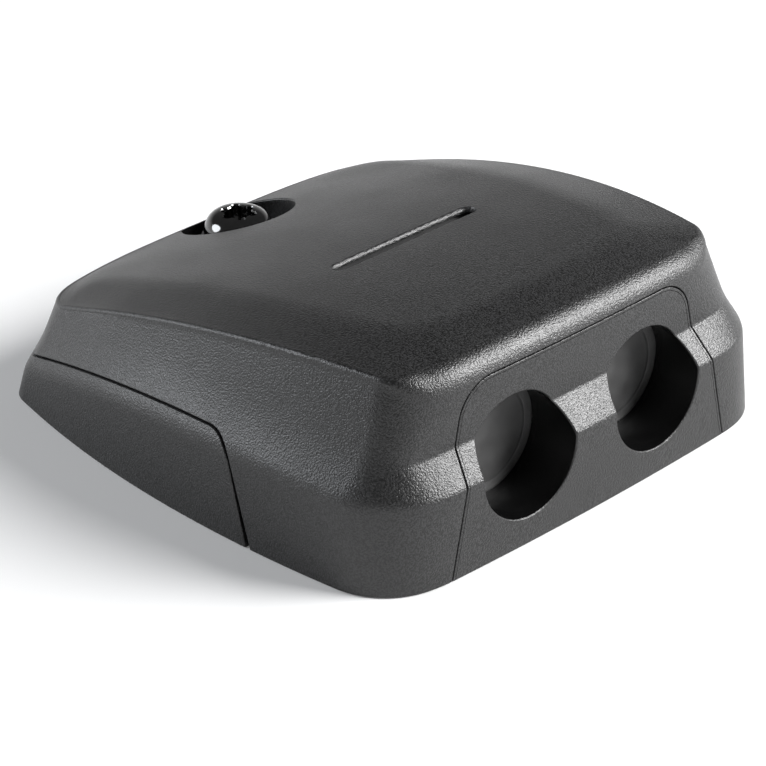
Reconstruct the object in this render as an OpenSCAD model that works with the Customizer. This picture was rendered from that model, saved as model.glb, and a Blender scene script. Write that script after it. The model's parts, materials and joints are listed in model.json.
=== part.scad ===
// Double cable gland: a low housing over a hole in a deck, with two cable ports in its front.
// The origin is on the deck, under the middle of the housing. The ports face -Y, and +Z is up.

/* [Housing] */
// Width at the widest point, on the deck
body_w = 98; // [92:0.2:104]
// Depth on the deck
body_d = 98; // [93:0.2:104]
// Thickness of the moulded walls
wall_t = 2.4; // [2:0.1:2.8]
// Distance of the widest point behind the front
side_mid = 51; // [42:1:60]
// Radius of the side walls in front of the widest point
side_front_r = 250; // [180:5:400]
// Radius of the side walls behind the widest point
side_rear_r = 208; // [180:5:400]
// Radius of the front wall's bow
front_bow_r = 690; // [500:5:1200]
// Distance from the housing's side to the place where that bow ends
front_bow_in = 17.6; // [16:0.2:21]
// Radius that eases the front wall into its corners
ease_r = 27; // [22:1:40]
// Corner radius of the plan at the front, on the deck
front_corner_r = 13; // [9:0.5:14]
// Corner radius of the plan at the front, at the waist
waist_corner_r = 14; // [12:0.5:15]
// Corner radius of the plan at the rear
rear_corner_r = 6.5; // [6:0.5:10]
// Radius of the rear wall's bow
rear_bow_r = 700; // [400:10:1200]
// Corner radius of the plan at the front, above the band
band_corner_r = 7.5; // [6:0.5:9]
// Radius of the band's upper edge in front of the widest point
band_front_r = 220; // [180:5:400]
// Radius of the band's upper edge behind the widest point
band_rear_r = 300; // [200:5:400]

/* [Walls] */
// Height of the waist at the front, where the band begins
waist_front_h = 15.3; // [14:0.1:17]
// Height of the waist along the sides, in front of the knee
waist_side_h = 15.4; // [14:0.1:17]
// Height of the waist at the rear
waist_rear_h = 3.8; // [3.4:0.1:6]
// Distance of the knee behind the front, from where the waist falls
waist_knee = 37.6; // [32:0.2:44]
// Rise of the sloping band above the waist
band_rise = 5.2; // [4.4:0.1:6]
// Inward step of the band at the front
band_front_in = 4; // [3.4:0.1:4.8]
// Inward step of the band at the sides
band_side_in = 3.4; // [2.8:0.1:4]
// Inward step of the band at the rear
band_rear_in = 3.3; // [2.8:0.1:3.6]
// Inward lean of the lower wall at the front
front_draft = 0.2; // [0.1:0.1:0.6]
// Inward lean of the lower wall at the sides and the rear
side_draft = 1.2; // [0.6:0.1:1.4]
// Inward lean of the upper wall at the front
upper_front_in = 0.2; // [0.1:0.1:0.8]

/* [Top] */
// Height of the ridge line near the front
ridge_h = 35.2; // [34.4:0.1:36.4]
// Height of the ridge line at the rear edge of the top
ridge_rear_h = 18.6; // [18:0.1:19.4]
// Height of the side crease near the front
crease_h = 33.4; // [32.8:0.1:34.4]
// Height of the side crease at the rear corners of the top
crease_rear_h = 15.8; // [15.4:0.1:16.6]
// Distance behind the front at which the ridge and the crease are highest
crest_d = 9.5; // [6:0.5:12]
// Inset of the side crease from the side of the housing
crease_in = 8; // [7.2:0.1:8.8]
// Distance behind the front at which the crease is widest
crease_mid = 64; // [54:1:70]
// Radius of the side crease in plan
crease_r = 294; // [240:2:400]
// Inset of the rear edge of the top from the rear of the housing
top_rear_in = 4.6; // [4.2:0.1:5.4]
// Corner radius of the top's plan
top_corner_r = 9; // [8:0.5:11]
// Radius of the edge between the front wall and the top
front_edge_r = 4.5; // [3.5:0.1:5.5]
// Radius of the edge between the side walls and the top
side_edge_r = 0.8; // [0.6:0.1:1.2]
// Rise of the front edge's middle over its corners
front_edge_bow = 1; // [0.6:0.1:1.4]
// Half width of the flat field in the top as a share of the crease's, near the front
field_front_share = 0.715; // [0.68:0.005:0.75]
// The same share at the rear
field_rear_share = 0.84; // [0.8:0.005:0.88]
// Distance of the flat field behind the front
field_d = 14.6; // [13:0.2:17]
// Width of the soft bend round the flat field
field_ease = 2; // [1.5:0.1:3]
// Fall of the flat field from its middle to its sides
field_crown = 0.4; // [0.2:0.1:0.7]

/* [Slot] */
// Length of the slot in the top, end to end
slot_len = 31.6; // [28:0.2:36]
// Width of the slot
slot_w = 2.1; // [1.6:0.1:2.6]
// Depth of the slot
slot_depth = 1.5; // [1:0.1:1.6]
// Distance of the slot behind the front
slot_d = 43.2; // [40:0.2:48]

/* [Ports] */
// Radius of each cable port
port_r = 10; // [9.4:0.1:10.4]
// Distance between the two ports, centre to centre
port_pitch = 29.4; // [28.4:0.1:30]
// Height of the ports' centres above the deck
port_h = 14.8; // [14.6:0.1:15.4]
// Wall of the port tubes
tube_t = 2; // [1.6:0.1:2.2]
// Distance of the tubes' inner ends behind the front
tube_d = 10; // [9.4:0.1:11]

/* [Front panel] */
// Distance of the panel's foot from the housing's side
panel_in = 17.4; // [16.6:0.1:18]
// Narrowing of each side of the panel per unit of height
panel_taper = 0.22; // [0.18:0.01:0.25]
// Height of the panel
panel_h = 30.2; // [29.6:0.1:30.6]
// Radius of the panel's upper corners
panel_corner_r = 7; // [5:0.5:8]
// Gap of the seam round the panel
panel_gap = 0.3; // [0.2:0.05:0.4]
// Gap between the flange and the cover
flange_gap = 0.45; // [0.4:0.05:0.6]
// Reach of the flange behind the cover, beyond the panel's edge
flange_w = 3.6; // [3.2:0.1:4]
// Thickness of the flange
flange_t = 1.8; // [1.6:0.1:2.2]
// Width of the gasket in the flange
panel_gasket_w = 1.8; // [1.4:0.1:2]
// Depth of the gasket in the flange
panel_gasket_t = 1; // [0.8:0.1:1.1]

/* [Cable seals] */
// Thickness of the seals' flange
seal_flange_t = 2.4; // [2:0.1:2.8]
// Thickness of the blank wall
seal_blank_t = 1.8; // [1.4:0.1:2.2]
// Depth of the dished face
seal_dish = 0.5; // [0.2:0.1:0.8]
// Width of the flat rim round the dished face
seal_rim = 1.2; // [0.8:0.1:2]
// Outer radius of the sleeve behind the flange
sleeve_r = 8.6; // [8:0.1:9]
// Wall of the sleeve
sleeve_t = 1.7; // [1.4:0.1:2]
// Length of the sleeve
sleeve_len = 7.6; // [6:0.2:9]
// Clearance between the seals and the tubes, and round the sleeves and screws
seal_gap = 0.15; // [0.1:0.05:0.3]

/* [Seal clamp] */
// Thickness of the clamp plate
clamp_t = 2.5; // [2:0.1:3]
// Rim of the clamp plate round the seals
clamp_rim = 1.2; // [1:0.1:1.4]
// Shank radius of the small screws
small_screw_r = 1.25; // [1.2:0.05:1.4]
// Length of the clamp screws' shanks
clamp_screw_len = 5.5; // [4.5:0.5:6]
// Radius of the small screws' heads
small_head_r = 2.8; // [2.5:0.1:3]
// Height of the small screws' heads
small_head_h = 2; // [1.6:0.1:2.2]
// Distance of the outer clamp screws beyond the ports' centres
clamp_screw_out = 13.3; // [13.1:0.1:13.7]
// Height of the lower clamp screws
clamp_low_h = 6.4; // [6.2:0.1:6.6]
// Height of the upper clamp screw
clamp_high_h = 24.4; // [24:0.1:24.8]
// Wall round the small screws
screw_boss_t = 1.9; // [1.6:0.1:2]

/* [Base] */
// Thickness of the deck plate
plate_t = 3; // [2.8:0.1:3.4]
// Gap between the deck plate and the cover's walls
plate_gap = 0.4; // [0.3:0.05:0.6]
// Height of the seam above the waist, along the wings
seam_rise = 2.05; // [1.4:0.05:2.4]
// Distance of the wings' front foot behind the front
wing_front = 30.4; // [29:0.2:33]
// Lean of the wings' front edge, in degrees
wing_lean = 18; // [10:1:20]
// Corner radius at the front of the wings
wing_corner_r = 6; // [3.5:0.5:7]
// Gap of the seam between the cover and the wings
seam_gap = 0.3; // [0.25:0.05:0.4]
// Extra gap at the foot of the wings' front edge
wedge_gap = 0.6; // [0.3:0.1:1]
// Thickness of the lip inside the seam
lip_t = 1.4; // [1.2:0.1:1.6]
// Height of the lip above the seam
lip_h = 2.4; // [2:0.1:3]
// Gap between the lip and the cover
lip_gap = 0.3; // [0.25:0.05:0.4]
// Distance of the lip's front end behind the wings' front edge
lip_in = 1; // [0.6:0.1:1.6]
// Radius of the sealing cords on the seam
cord_r = 0.5; // [0.4:0.05:0.55]
// Clearance of the cords from the lip and from the cover
cord_gap = 0.1; // [0.05:0.05:0.15]

/* [Deck hole] */
// Radius of the hole for the cables
deck_hole_r = 15; // [13:0.5:16]
// Distance of the hole's centre behind the front
deck_hole_d = 55; // [52:0.5:57]
// Wall of the collar round the hole
collar_t = 2.2; // [1.8:0.1:2.6]
// Height of the collar above the deck
collar_h = 11; // [9:0.5:12]

/* [Deck screw holes] */
// Radius of the four holes for the deck screws
deck_screw_r = 2.4; // [2.2:0.1:2.8]
// Distance between the holes across the housing
deck_screw_x = 62; // [58:0.5:64]
// Distance between the holes along the housing
deck_screw_y = 48; // [44:0.5:50]
// Distance of the pattern's centre behind the front
deck_screw_d = 54; // [52:0.5:56]
// Height of the screw pads above the deck
deck_pad_h = 5.5; // [4.5:0.1:6.5]
// Radius of the screw pads
deck_pad_r = 5.6; // [5.4:0.1:6]
// Radius of the countersinks
deck_sink_r = 4.4; // [4:0.1:4.8]

/* [Deck gasket] */
// Thickness of the deck gasket
deck_gasket_t = 1; // [0.8:0.1:1.2]
// Distance of the gasket's outer edge inside the housing's outline
deck_gasket_in = 7; // [6.4:0.1:8]
// Clearance round the gasket in its recess
deck_gasket_gap = 0.2; // [0.1:0.05:0.3]
// Distance of the gasket's front edge behind the front
deck_gasket_d = 24; // [22:0.5:26]

/* [Cover bolt] */
// Distance of the bolt's axis in front of the rear
bolt_rear_d = 12; // [11.4:0.1:12.6]
// Radius of the bolt's head
bolt_head_r = 6.2; // [5.8:0.1:6.4]
// Height of the bolt's head
bolt_head_h = 4.3; // [3.8:0.1:4.8]
// Radius of the bolt's shank
bolt_r = 3; // [2.8:0.05:3.1]
// Clearance of the bolt in its thread
thread_gap = 0.08; // [0.04:0.01:0.1]
// Clearance of the bolt in the cover
bolt_gap = 0.3; // [0.2:0.05:0.4]
// Radius of the pocket round the bolt's head
pocket_r = 10; // [9.4:0.1:10.6]
// Height of the pocket's floor above the deck
pocket_h = 16.8; // [16.2:0.1:17.4]
// Thickness of the pocket's floor
floor_t = 2.4; // [2.2:0.1:2.8]
// Thickness of the washer
washer_t = 1.2; // [0.8:0.1:1.6]
// Outer radius of the washer
washer_r = 6.6; // [6.2:0.1:7.2]
// Thickness of the O-ring's section
o_ring_d = 1.5; // [1.3:0.1:1.6]
// Clearance round the O-ring
o_ring_gap = 0.1; // [0.05:0.05:0.2]
// Thickness of the retaining ring
ring_t = 0.6; // [0.5:0.05:0.7]
// Outer radius of the retaining ring
ring_r = 4.8; // [4.4:0.1:5]

/* [Bolt tower] */
// Width of the tower at the rear of the base
tower_w = 17; // [15:0.2:18]
// Gap between the tower and the cover's pocket
tower_gap = 1.3; // [1.2:0.05:1.4]
// Outer radius of the threaded insert
insert_r = 4.2; // [4:0.1:4.4]
// Length of the threaded insert
insert_len = 7; // [6:0.5:8]

/* [Panel screws] */
// Distance of the panel's screws outside the panel's foot
panel_screw_out = 2.8; // [2.6:0.1:3.2]
// Distance of the panel's screws behind the front
panel_screw_d = 9.2; // [9:0.1:9.6]
// Length of the panel's screws
panel_screw_len = 8; // [7:0.5:9]
// Height of the feet that the screws hold
foot_h = 11; // [10.6:0.1:11.6]

/* [Hidden] */
$fn = 48;
eps = 0.01;

front_y = -body_d / 2;
rear_y = body_d / 2;
half_w = body_w / 2;
far = body_w + body_d;
front_bow_half = half_w - front_bow_in;
panel_half = half_w - panel_in;
panel_screw_x = panel_half + panel_screw_out;
clamp_screw_x = port_pitch / 2 + clamp_screw_out;
top_rear_y = rear_y - top_rear_in;
slot_y = front_y + slot_d;
tube_y = front_y + tube_d;
seal_y = tube_y + seal_gap;
clamp_y = seal_y + seal_flange_t;
deck_hole_y = front_y + deck_hole_d;
deck_screw_cy = front_y + deck_screw_d;
bolt_y = rear_y - bolt_rear_d;
knee_y = front_y + waist_knee;
crest_y = front_y + crest_d;
tower_h = pocket_h - floor_t - tower_gap;
head_h = pocket_h + washer_t;

// Points on each stretch of a half outline: bow, ease, front corner, two side arcs, rear corner, rear bow
n_bow = 5;
n_ease = 3;
n_corner = 6;
n_side = 6;
n_rear = 4;

// Small helpers
function smooth(t) = let (u = max(0, min(1, t))) u * u * (3 - 2 * u);
function mix(a, b, t) = a + (b - a) * t;
function unit(v) = v / norm(v);
function heading(v) = atan2(v.y, v.x);
function ray(a) = [cos(a), sin(a)];
function flip(p) = len(p) == 3 ? [-p.x, p.y, p.z] : [-p.x, p.y];

// Directions on an arc, from angle a0 to a1, without the last
function turns(a0, a1, n) = [for (i = [0:n - 1]) a0 + (a1 - a0) * i / n];

// The lower or the upper point in which two circles meet
function meet(a, ra, b, rb, lower) =
    let (d = b - a, dist = norm(d), t = (ra * ra - rb * rb + dist * dist) / (2 * dist),
        h = sqrt(max(0, ra * ra - t * t)), m = a + d * t / dist, n = [-d.y, d.x] / dist,
        p = m + h * n, q = m - h * n)
    lower == (p.y < q.y) ? p : q;

// Right half of a plan outline as a chain of tangent arcs, from the front's middle to the rear's middle.
// Each entry is a point and the angle of its outward normal.
function half_outline(front, half, rear, bow_half, r_front, r_rear, mid, r1, r2, inset = 0) =
    let (bow = front_bow_r - inset, ease = ease_r - inset, side1 = r1 - inset, side2 = r2 - inset,
        back = rear_bow_r - inset, rf = r_front - inset, rr = r_rear - inset,
        a = [0, front + front_bow_r], ta = -acos(bow_half / front_bow_r),
        ca = a + (front_bow_r - ease_r) * ray(ta),
        b = [half - r1, mid], b2 = [half - r2, mid], a2 = [0, rear - rear_bow_r],
        c1 = meet(ca, ease_r - r_front, b, r1 - r_front, true),
        c2 = meet(a2, rear_bow_r - r_rear, b2, r2 - r_rear, false),
        t1 = heading(c1 - ca), t2 = heading(c1 - b), t3 = heading(c2 - b2), t4 = heading(c2 - a2))
    concat(
        [for (t = turns(-90, ta, n_bow)) [a + bow * ray(t), t]],
        [for (t = turns(ta, t1, n_ease)) [ca + ease * ray(t), t]],
        [for (t = turns(t1, t2, n_corner)) [c1 + rf * ray(t), t]],
        [for (t = turns(t2, 0, n_side)) [b + side1 * ray(t), t]],
        [for (t = turns(0, t3, n_side)) [b2 + side2 * ray(t), t]],
        [for (t = turns(t3, t4, n_corner)) [c2 + rr * ray(t), t]],
        [for (t = turns(t4, 90, n_rear)) [a2 + back * ray(t), t]],
        [[[0, rear - inset], 90]]);

// Share of the way from the front wall to the side wall, for each point of a half outline
side_share = concat(
    [for (i = [1:n_bow + n_ease]) 0],
    [for (i = [0:n_corner - 1]) smooth(i / n_corner)],
    [for (i = [0:2 * n_side + n_corner + n_rear]) 1]);
n_half = len(side_share);

// Heights of the waist, the ridge, the crease and the flat field
function waist_z(y) = y > knee_y
    ? waist_side_h - (waist_side_h - waist_rear_h) * pow((y - knee_y) / (rear_y - knee_y), 2)
    : waist_side_h + (waist_front_h - waist_side_h) * pow((knee_y - y) / (knee_y - front_y), 2);
function seam_z(y) = waist_z(y) + seam_rise;
function fall(y) = pow((y - crest_y) / (top_rear_y - crest_y), 2);
function ridge_z(y) = ridge_h - (ridge_h - ridge_rear_h) * fall(y);
function crease_z(y) = crease_h - (crease_h - crease_rear_h) * fall(y);
function crease_x(y) = half_w - crease_in - crease_r + sqrt(crease_r * crease_r - pow(y - front_y - crease_mid, 2));
function field_z(p) = ridge_z(p.y) - field_crown * pow(p.x / crease_x(p.y), 2);

// Height of the top's edge: the crease along the sides, a bowed line along the front and the rear
function edge_z(p) = let (u = pow(abs(p.x) / crease_x(p.y), 4), rear = smooth((p.y - top_rear_y + 14) / 12),
        front = smooth((front_y + 14 - p.y) / 8))
    crease_z(p.y) + (1 - u) * (rear * (ridge_z(p.y) - crease_z(p.y)) + front * front_edge_bow);

// Plan outlines of the deck line, the waist, the band's upper edge and the crease
side_mid_y = front_y + side_mid;
deck_plan = half_outline(front_y, half_w, rear_y, front_bow_half, front_corner_r, rear_corner_r,
    side_mid_y, side_front_r, side_rear_r);
waist_plan = half_outline(front_y + front_draft, half_w - side_draft, rear_y - side_draft,
    front_bow_half - 2, waist_corner_r, rear_corner_r, side_mid_y, side_front_r, side_rear_r);
band_plan = half_outline(front_y + front_draft + band_front_in, half_w - side_draft - band_side_in,
    rear_y - side_draft - band_rear_in, front_bow_half - 1, band_corner_r, rear_corner_r, side_mid_y,
    band_front_r, band_rear_r);
crease_plan = half_outline(front_y + front_draft + band_front_in + upper_front_in, half_w - crease_in,
    top_rear_y, front_bow_half - 7, top_corner_r, top_corner_r, front_y + crease_mid, crease_r, crease_r);

// Rings of the outer skin on the right half, from the deck to the middle of the top
function edge_r(j) = mix(front_edge_r, side_edge_r, side_share[j]);
function edge_end(j) = crease_plan[j][0] - edge_r(j) * ray(crease_plan[j][1]);
function raise(p, z) = [p.x, p.y, z];
half = [for (j = [0:n_half - 1]) j];
deck_ring = [for (p = deck_plan) raise(p[0], 0)];
waist_ring = [for (p = waist_plan) raise(p[0], waist_z(p[0].y))];
band_ring = [for (p = band_plan) raise(p[0], waist_z(p[0].y) + band_rise)];
edge_start_ring = [for (j = half) raise(crease_plan[j][0], edge_z(edge_end(j)) - edge_r(j))];
edge_mid_ring = [for (j = half) let (r = edge_r(j))
    raise(crease_plan[j][0] - 0.293 * r * ray(crease_plan[j][1]), edge_z(edge_end(j)) - 0.293 * r)];
edge_end_ring = [for (j = half) raise(edge_end(j), edge_z(edge_end(j)))];

// The band meets the upper wall crisply at the front and in a soft hollow along the sides
function hollow(j) = mix(0.05, 0.5, side_share[j]);
band_low_ring = [for (j = half) mix(band_ring[j], waist_ring[j], hollow(j))];
band_high_ring = [for (j = half) mix(band_ring[j], edge_start_ring[j], hollow(j) * 0.6)];
band_mid_ring = [for (j = half) 0.5 * band_ring[j] + 0.25 * (band_low_ring[j] + band_high_ring[j])];

// The flat field's outline is drawn in from the crease, and its rings shrink towards its centre
field_cy = front_y + field_d + 28;
edge_front = front_draft + band_front_in + upper_front_in;
function field_point(j) = let (p = crease_plan[j][0],
        back = (field_d - edge_front) * (1 - smooth((p.y - front_y - edge_front) / 30)),
        fore = 2.6 * smooth((p.y - top_rear_y + 12) / 12))
    [p.x * mix(field_front_share, field_rear_share, pow((p.y - front_y) / body_d, 2)), p.y + back - fore];
function toward_middle(p, s) = [p.x * s, field_cy + (p.y - field_cy) * s];
function field_level(s) = [for (j = half) let (p = toward_middle(field_point(j), s)) raise(p, field_z(p))];
field_in = 1 - field_ease / (half_w - crease_in);
field_out_ring = [for (j = half) mix(field_level(1)[j], edge_end_ring[j], 0.12) - [0, 0, 0.06]];
middle = [0, field_cy, field_z([0, field_cy])];

skin_rings = [deck_ring, waist_ring, band_low_ring, band_mid_ring, band_high_ring, edge_start_ring,
    edge_mid_ring, edge_end_ring, field_out_ring, field_level(field_in), field_level(0.62), field_level(0.3)];

// A whole loop from its right half
function loop(half) = concat(half, [for (i = [len(half) - 2:-1:1]) flip(half[i])]);

// Triangles between successive loops of n points, which start at point a and face outwards or inwards
function sides(a, m, n, out = true) = [for (k = [0:m - 2], i = [0:n - 1])
    let (j = (i + 1) % n, p = a + k * n + i, q = a + k * n + j)
    each out ? [[p, p + n, q + n], [p, q + n, q]] : [[p, q + n, p + n], [p, q, q + n]]];

// A closed shell from its outer and its inner loops, each with the point that closes it above
module shell(outer, tip, inner, inner_tip) {
    n = len(outer[0]);
    m = len(outer);
    k = len(inner);
    b = m * n + 1;
    polyhedron(concat([for (l = outer) each l], [tip], [for (l = inner) each l], [inner_tip]), concat(
        sides(0, m, n),
        [for (i = [0:n - 1]) [m * n, (m - 1) * n + (i + 1) % n, (m - 1) * n + i]],
        sides(b, k, n, false),
        [for (i = [0:n - 1]) [b + k * n, b + (k - 1) * n + i, b + (k - 1) * n + (i + 1) % n]],
        [for (i = [0:n - 1]) let (j = (i + 1) % n) each [[i, j, b + j], [i, b + j, b + i]]]));
}

// A closed strip of wall from its outer and inner columns of points, open at both ends of the loop
module strip(outer, inner) {
    n = len(outer[0]);
    m = len(outer);
    b = m * n;
    polyhedron(concat([for (l = outer) each l], [for (l = inner) each l]), concat(
        [for (k = [0:m - 2], i = [0:n - 2]) let (p = k * n + i)
            each [[p, p + n, p + n + 1], [p, p + n + 1, p + 1], [b + p, b + p + n + 1, b + p + n],
                [b + p, b + p + 1, b + p + n + 1]]],
        [for (i = [0:n - 2]) let (t = (m - 1) * n + i)
            each [[i, i + 1, b + i + 1], [i, b + i + 1, b + i], [t, b + t, b + t + 1], [t, b + t + 1, t + 1]]],
        [for (k = [0:m - 2]) let (p = k * n, q = k * n + n - 1)
            each [[p, b + p, b + p + n], [p, b + p + n, p + n], [q, b + q + n, b + q], [q, q + n, b + q + n]]]));
}

// The skin moved inwards by t, along its own normals. The last ring of the walls is the edge's middle
upper_ring = [for (j = half) mix(band_high_ring[j], edge_start_ring[j], mix(1, 0.7, side_share[j]))];
core_rings = [deck_ring, waist_ring, band_low_ring, band_high_ring, upper_ring, edge_mid_ring, field_out_ring,
    field_level(field_in), field_level(0.62), field_level(0.3)];
wall_last = 5;
function core_gain(k, j) = k == 1 ? 1.08 : k == wall_last ? mix(0.8, 1.18, side_share[j]) : 1;
function skin_normal(k, j) =
    let (r = core_rings[k], last = len(core_rings) - 1,
        before = j == 0 ? flip(r[1]) : r[j - 1], after = j == n_half - 1 ? flip(r[j - 1]) : r[j + 1],
        up = core_rings[min(k + 1, last)][j] - core_rings[max(k - 1, 0)][j])
    unit(cross(after - before, up));
function foot_plan(t) = [for (p = half_outline(front_y, half_w, rear_y, front_bow_half, front_corner_r,
    rear_corner_r, side_mid_y, side_front_r, side_rear_r, t)) p[0]];
function foot_ring(t) = [for (p = foot_plan(t)) raise(p, 0)];
function core_ring(k, t) = k == 0 ? foot_ring(t) : [for (j = half)
    core_rings[k][j] - t * core_gain(k, j) * skin_normal(k, j)];
module hood() {
    shell([for (r = skin_rings) loop(r)], middle,
        [for (k = [0:len(core_rings) - 1]) loop(core_ring(k, wall_t))], middle - [0, 0, wall_t]);
}

// Wall between depths t0 and t1 of the skin, from the sides' front round the rear, up to the top's edge
wall_first = n_bow + n_ease + n_corner + 1;
function wall_loop(k, t) = let (r = t == 0 ? core_rings[k] : core_ring(k, t))
    concat([for (j = [wall_first:n_half - 1]) r[j]], [for (j = [n_half - 2:-1:wall_first]) flip(r[j])]);
module wall(t0, t1) {
    strip([for (k = [0:wall_last]) wall_loop(k, t0)], [for (k = [0:wall_last]) wall_loop(k, t1)]);
}

// A point at height z on the skin moved inwards by t
function wall_point(j, z, t) =
    let (column = [for (k = [0:wall_last]) core_ring(k, t)[j]],
        k = column[1].z > z ? 0 : column[2].z > z ? 1 : column[3].z > z ? 2 : 3)
    mix(column[k], column[k + 1], (z - column[k].z) / (column[k + 1].z - column[k].z));

// Side view of the wings and the rear rim, grown by g, with its foot moved forward by w
function wing_profile(g, w) =
    let (top = seam_z(knee_y) + g, r = wing_corner_r + g, foot = [front_y + wing_front - g / cos(wing_lean) - w, 0],
        lean = atan((top * tan(wing_lean) + w) / top), dir = [sin(lean), cos(lean)],
        side = [cos(lean), -sin(lean)], s = (top - r + r * sin(lean)) / cos(lean), c = foot + s * dir + r * side)
    concat([foot - 2 * dir],
        [for (t = turns(180 - lean, 90, 6)) c + r * ray(t)],
        [for (i = [0:12]) let (y = mix(c.x, rear_y, i / 12)) [y, seam_z(y) + g]],
        [[rear_y + 5, seam_z(rear_y) + g], [rear_y + 5, -2 * cos(lean)]]);
module wing_region(g = 0, w = 0) {
    multmatrix([[0, 0, 1, 0], [1, 0, 0, 0], [0, 1, 0, 0], [0, 0, 0, 1]])
        linear_extrude(far, center = true)
            polygon(wing_profile(g, w));
}
module tower_region(g = 0) {
    low = g > 0 ? 1 : 0;
    translate([-tower_w / 2 - g, bolt_y - insert_r - 2 - g, -low])
        cube([tower_w + 2 * g, 30, tower_h + low + g]);
}

// Section of the front wall as [inset, height], and the same moved inwards by t. Its last point lies a
// little way up the rounded edge, where the edge has left the wall by less than a tenth of a millimetre
front_straight = 0.82;
front_section = [[0, 0], [front_draft, waist_front_h], [front_draft + band_front_in, waist_front_h + band_rise],
    [front_draft + band_front_in + upper_front_in, crease_h + front_edge_bow - front_straight * front_edge_r]];
function section_normal(k) = let (d = front_section[k + 1] - front_section[k]) unit([d.y, -d.x]);
function section_point(k, t) = k == 0 ? front_section[0] + [t, 0]
    : k == 3 ? front_section[3] + t * section_normal(2)
    : let (a = section_normal(k - 1), b = section_normal(k)) front_section[k] + t * (a + b) / (1 + a * b);
module front_layer(from, to, low = 0) {
    translate([0, front_y + front_bow_r, 0])
        rotate([0, 0, -94])
            rotate_extrude(angle = 8, $fn = 1440)
                polygon(concat(
                    [for (k = [0:3]) let (p = section_point(k, from)) [front_bow_r - p.x, k == 0 ? low : p.y]],
                    [for (k = [3:-1:0]) let (p = section_point(k, to)) [front_bow_r - p.x, k == 0 ? low : p.y]]));
}

// Front view of the panel, grown by g, as an extrusion along the depth
function panel_outline(g) =
    let (lean = atan(panel_taper), r = panel_corner_r + g, half = panel_half + g / cos(lean), top = panel_h + g,
        cx = half - (top - r) * tan(lean) - r / cos(lean),
        corner = [for (t = turns(lean, 90, 8)) [cx, top - r] + r * ray(t)])
    concat([[half, 0]], corner, [[cx, top]], [for (p = [for (i = [len(corner):-1:0])
        i == len(corner) ? [cx, top] : corner[i]]) [-p.x, p.y]], [[-half, 0]]);
module panel_column(g, low = 0) {
    translate([0, front_y + 30, 0])
        rotate([90, 0, 0])
            linear_extrude(31)
                intersection() {
                    polygon(panel_outline(g));
                    translate([-far, low])
                        square(2 * far);
                }
}
module at_ports() {
    for (s = [-1, 1])
        translate([s * port_pitch / 2, 0, port_h])
            children();
}
module along_y(from, to, r, r2 = -1) {
    translate([0, from, 0])
        rotate([-90, 0, 0])
            cylinder(h = to - from, r1 = r, r2 = r2 < 0 ? r : r2);
}
tube_r = port_r + tube_t;
boss_r = small_screw_r + screw_boss_t;
clamp_places = [[-clamp_screw_x, clamp_low_h], [clamp_screw_x, clamp_low_h], [0, clamp_high_h], [0, clamp_low_h]];
module at_clamp_screw(i) {
    translate([clamp_places[i].x, 0, clamp_places[i].y])
        children();
}
module at_panel_screws() {
    for (s = [-1, 1])
        translate([s * panel_screw_x, front_y + panel_screw_d, 0])
            children();
}

// Hood moulding
module cover() {
    color([0.16, 0.16, 0.17])
        difference() {
            union() {
                hood();
                bolt_cup();
            }
            panel_column(panel_gap, -1);
            wing_region(seam_gap, wedge_gap);
            tower_region(seam_gap);
            translate([0, bolt_y, pocket_h])
                cylinder(h = 30, r = pocket_r);
            translate([0, bolt_y, 0])
                cylinder(h = 30, r = bolt_r + bolt_gap);
            translate([0, bolt_y, pocket_h - o_ring_d])
                cylinder(h = 30, r = bolt_r + o_ring_d + 2 * o_ring_gap);
            slot();
        }
}

// Cup under the pocket, cut off inside the thickness of the top and of the rear wall
module bolt_cup() {
    lean = atan((ridge_z(bolt_y - pocket_r) - ridge_z(top_rear_y)) / (top_rear_y - bolt_y + pocket_r));
    intersection() {
        translate([0, bolt_y, pocket_h - floor_t])
            cylinder(h = 30, r = pocket_r + wall_t);
        translate([-far / 2, top_rear_y - wall_t / 2, ridge_z(top_rear_y) - wall_t / 2])
            rotate([-lean, 0, 0])
                translate([0, -far / 2, -far])
                    cube(far);
        translate([-far / 2, 0, 0])
            cube([far, top_rear_y - wall_t / 2, far]);
    }
}
module slot() {
    hull()
        for (s = [-1, 1])
            translate([s * (slot_len - slot_w) / 2, slot_y, field_z([0, slot_y]) - slot_depth])
                cylinder(h = 10, r = slot_w / 2, $fn = 24);
}

// Base moulding
module base() {
    inner = wall_t + lip_gap + lip_t;
    color([0.16, 0.16, 0.17])
        difference() {
            union() {
                deck_plate();
                intersection() {
                    wall(0, inner - lip_t / 2);
                    union() {
                        wing_region();
                        tower_region();
                    }
                }
                intersection() {
                    wall(wall_t + lip_gap, inner);
                    translate([0, 0, lip_h + lip_in])
                        wing_region(-lip_in);
                    translate([-far / 2, knee_y, plate_t / 2])
                        cube(far);
                }
                intersection() {
                    translate([-far / 2, 0, 0])
                        cube([far, top_rear_y - wall_t / 2, far]);
                    tower_region();
                }
                translate([0, deck_hole_y, 0])
                    cylinder(h = collar_h, r = deck_hole_r + collar_t);
                at_deck_screws()
                    cylinder(h = deck_pad_h, r = deck_pad_r);
            }
            translate([0, deck_hole_y, -1])
                cylinder(h = collar_h + 2, r = deck_hole_r);
            at_deck_screws()
                sunk_hole(deck_screw_r, deck_sink_r, deck_pad_h);
            translate([0, bolt_y, tower_h - insert_len])
                cylinder(h = 20, r = insert_r);
            translate([0, bolt_y, tower_h - insert_len - 2])
                cylinder(h = 20, r = bolt_r + bolt_gap);
            at_ports()
                along_y(front_y - 1, clamp_y, tube_r + seal_gap);
            at_panel_screws()
                translate([0, 0, plate_t])
                    rotate([180, 0, 0])
                        sunk_hole(small_screw_r + seal_gap, small_head_r + seal_gap, plate_t);
            deck_gasket_shape(deck_gasket_gap, deck_gasket_t, -1);
        }
}
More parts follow.
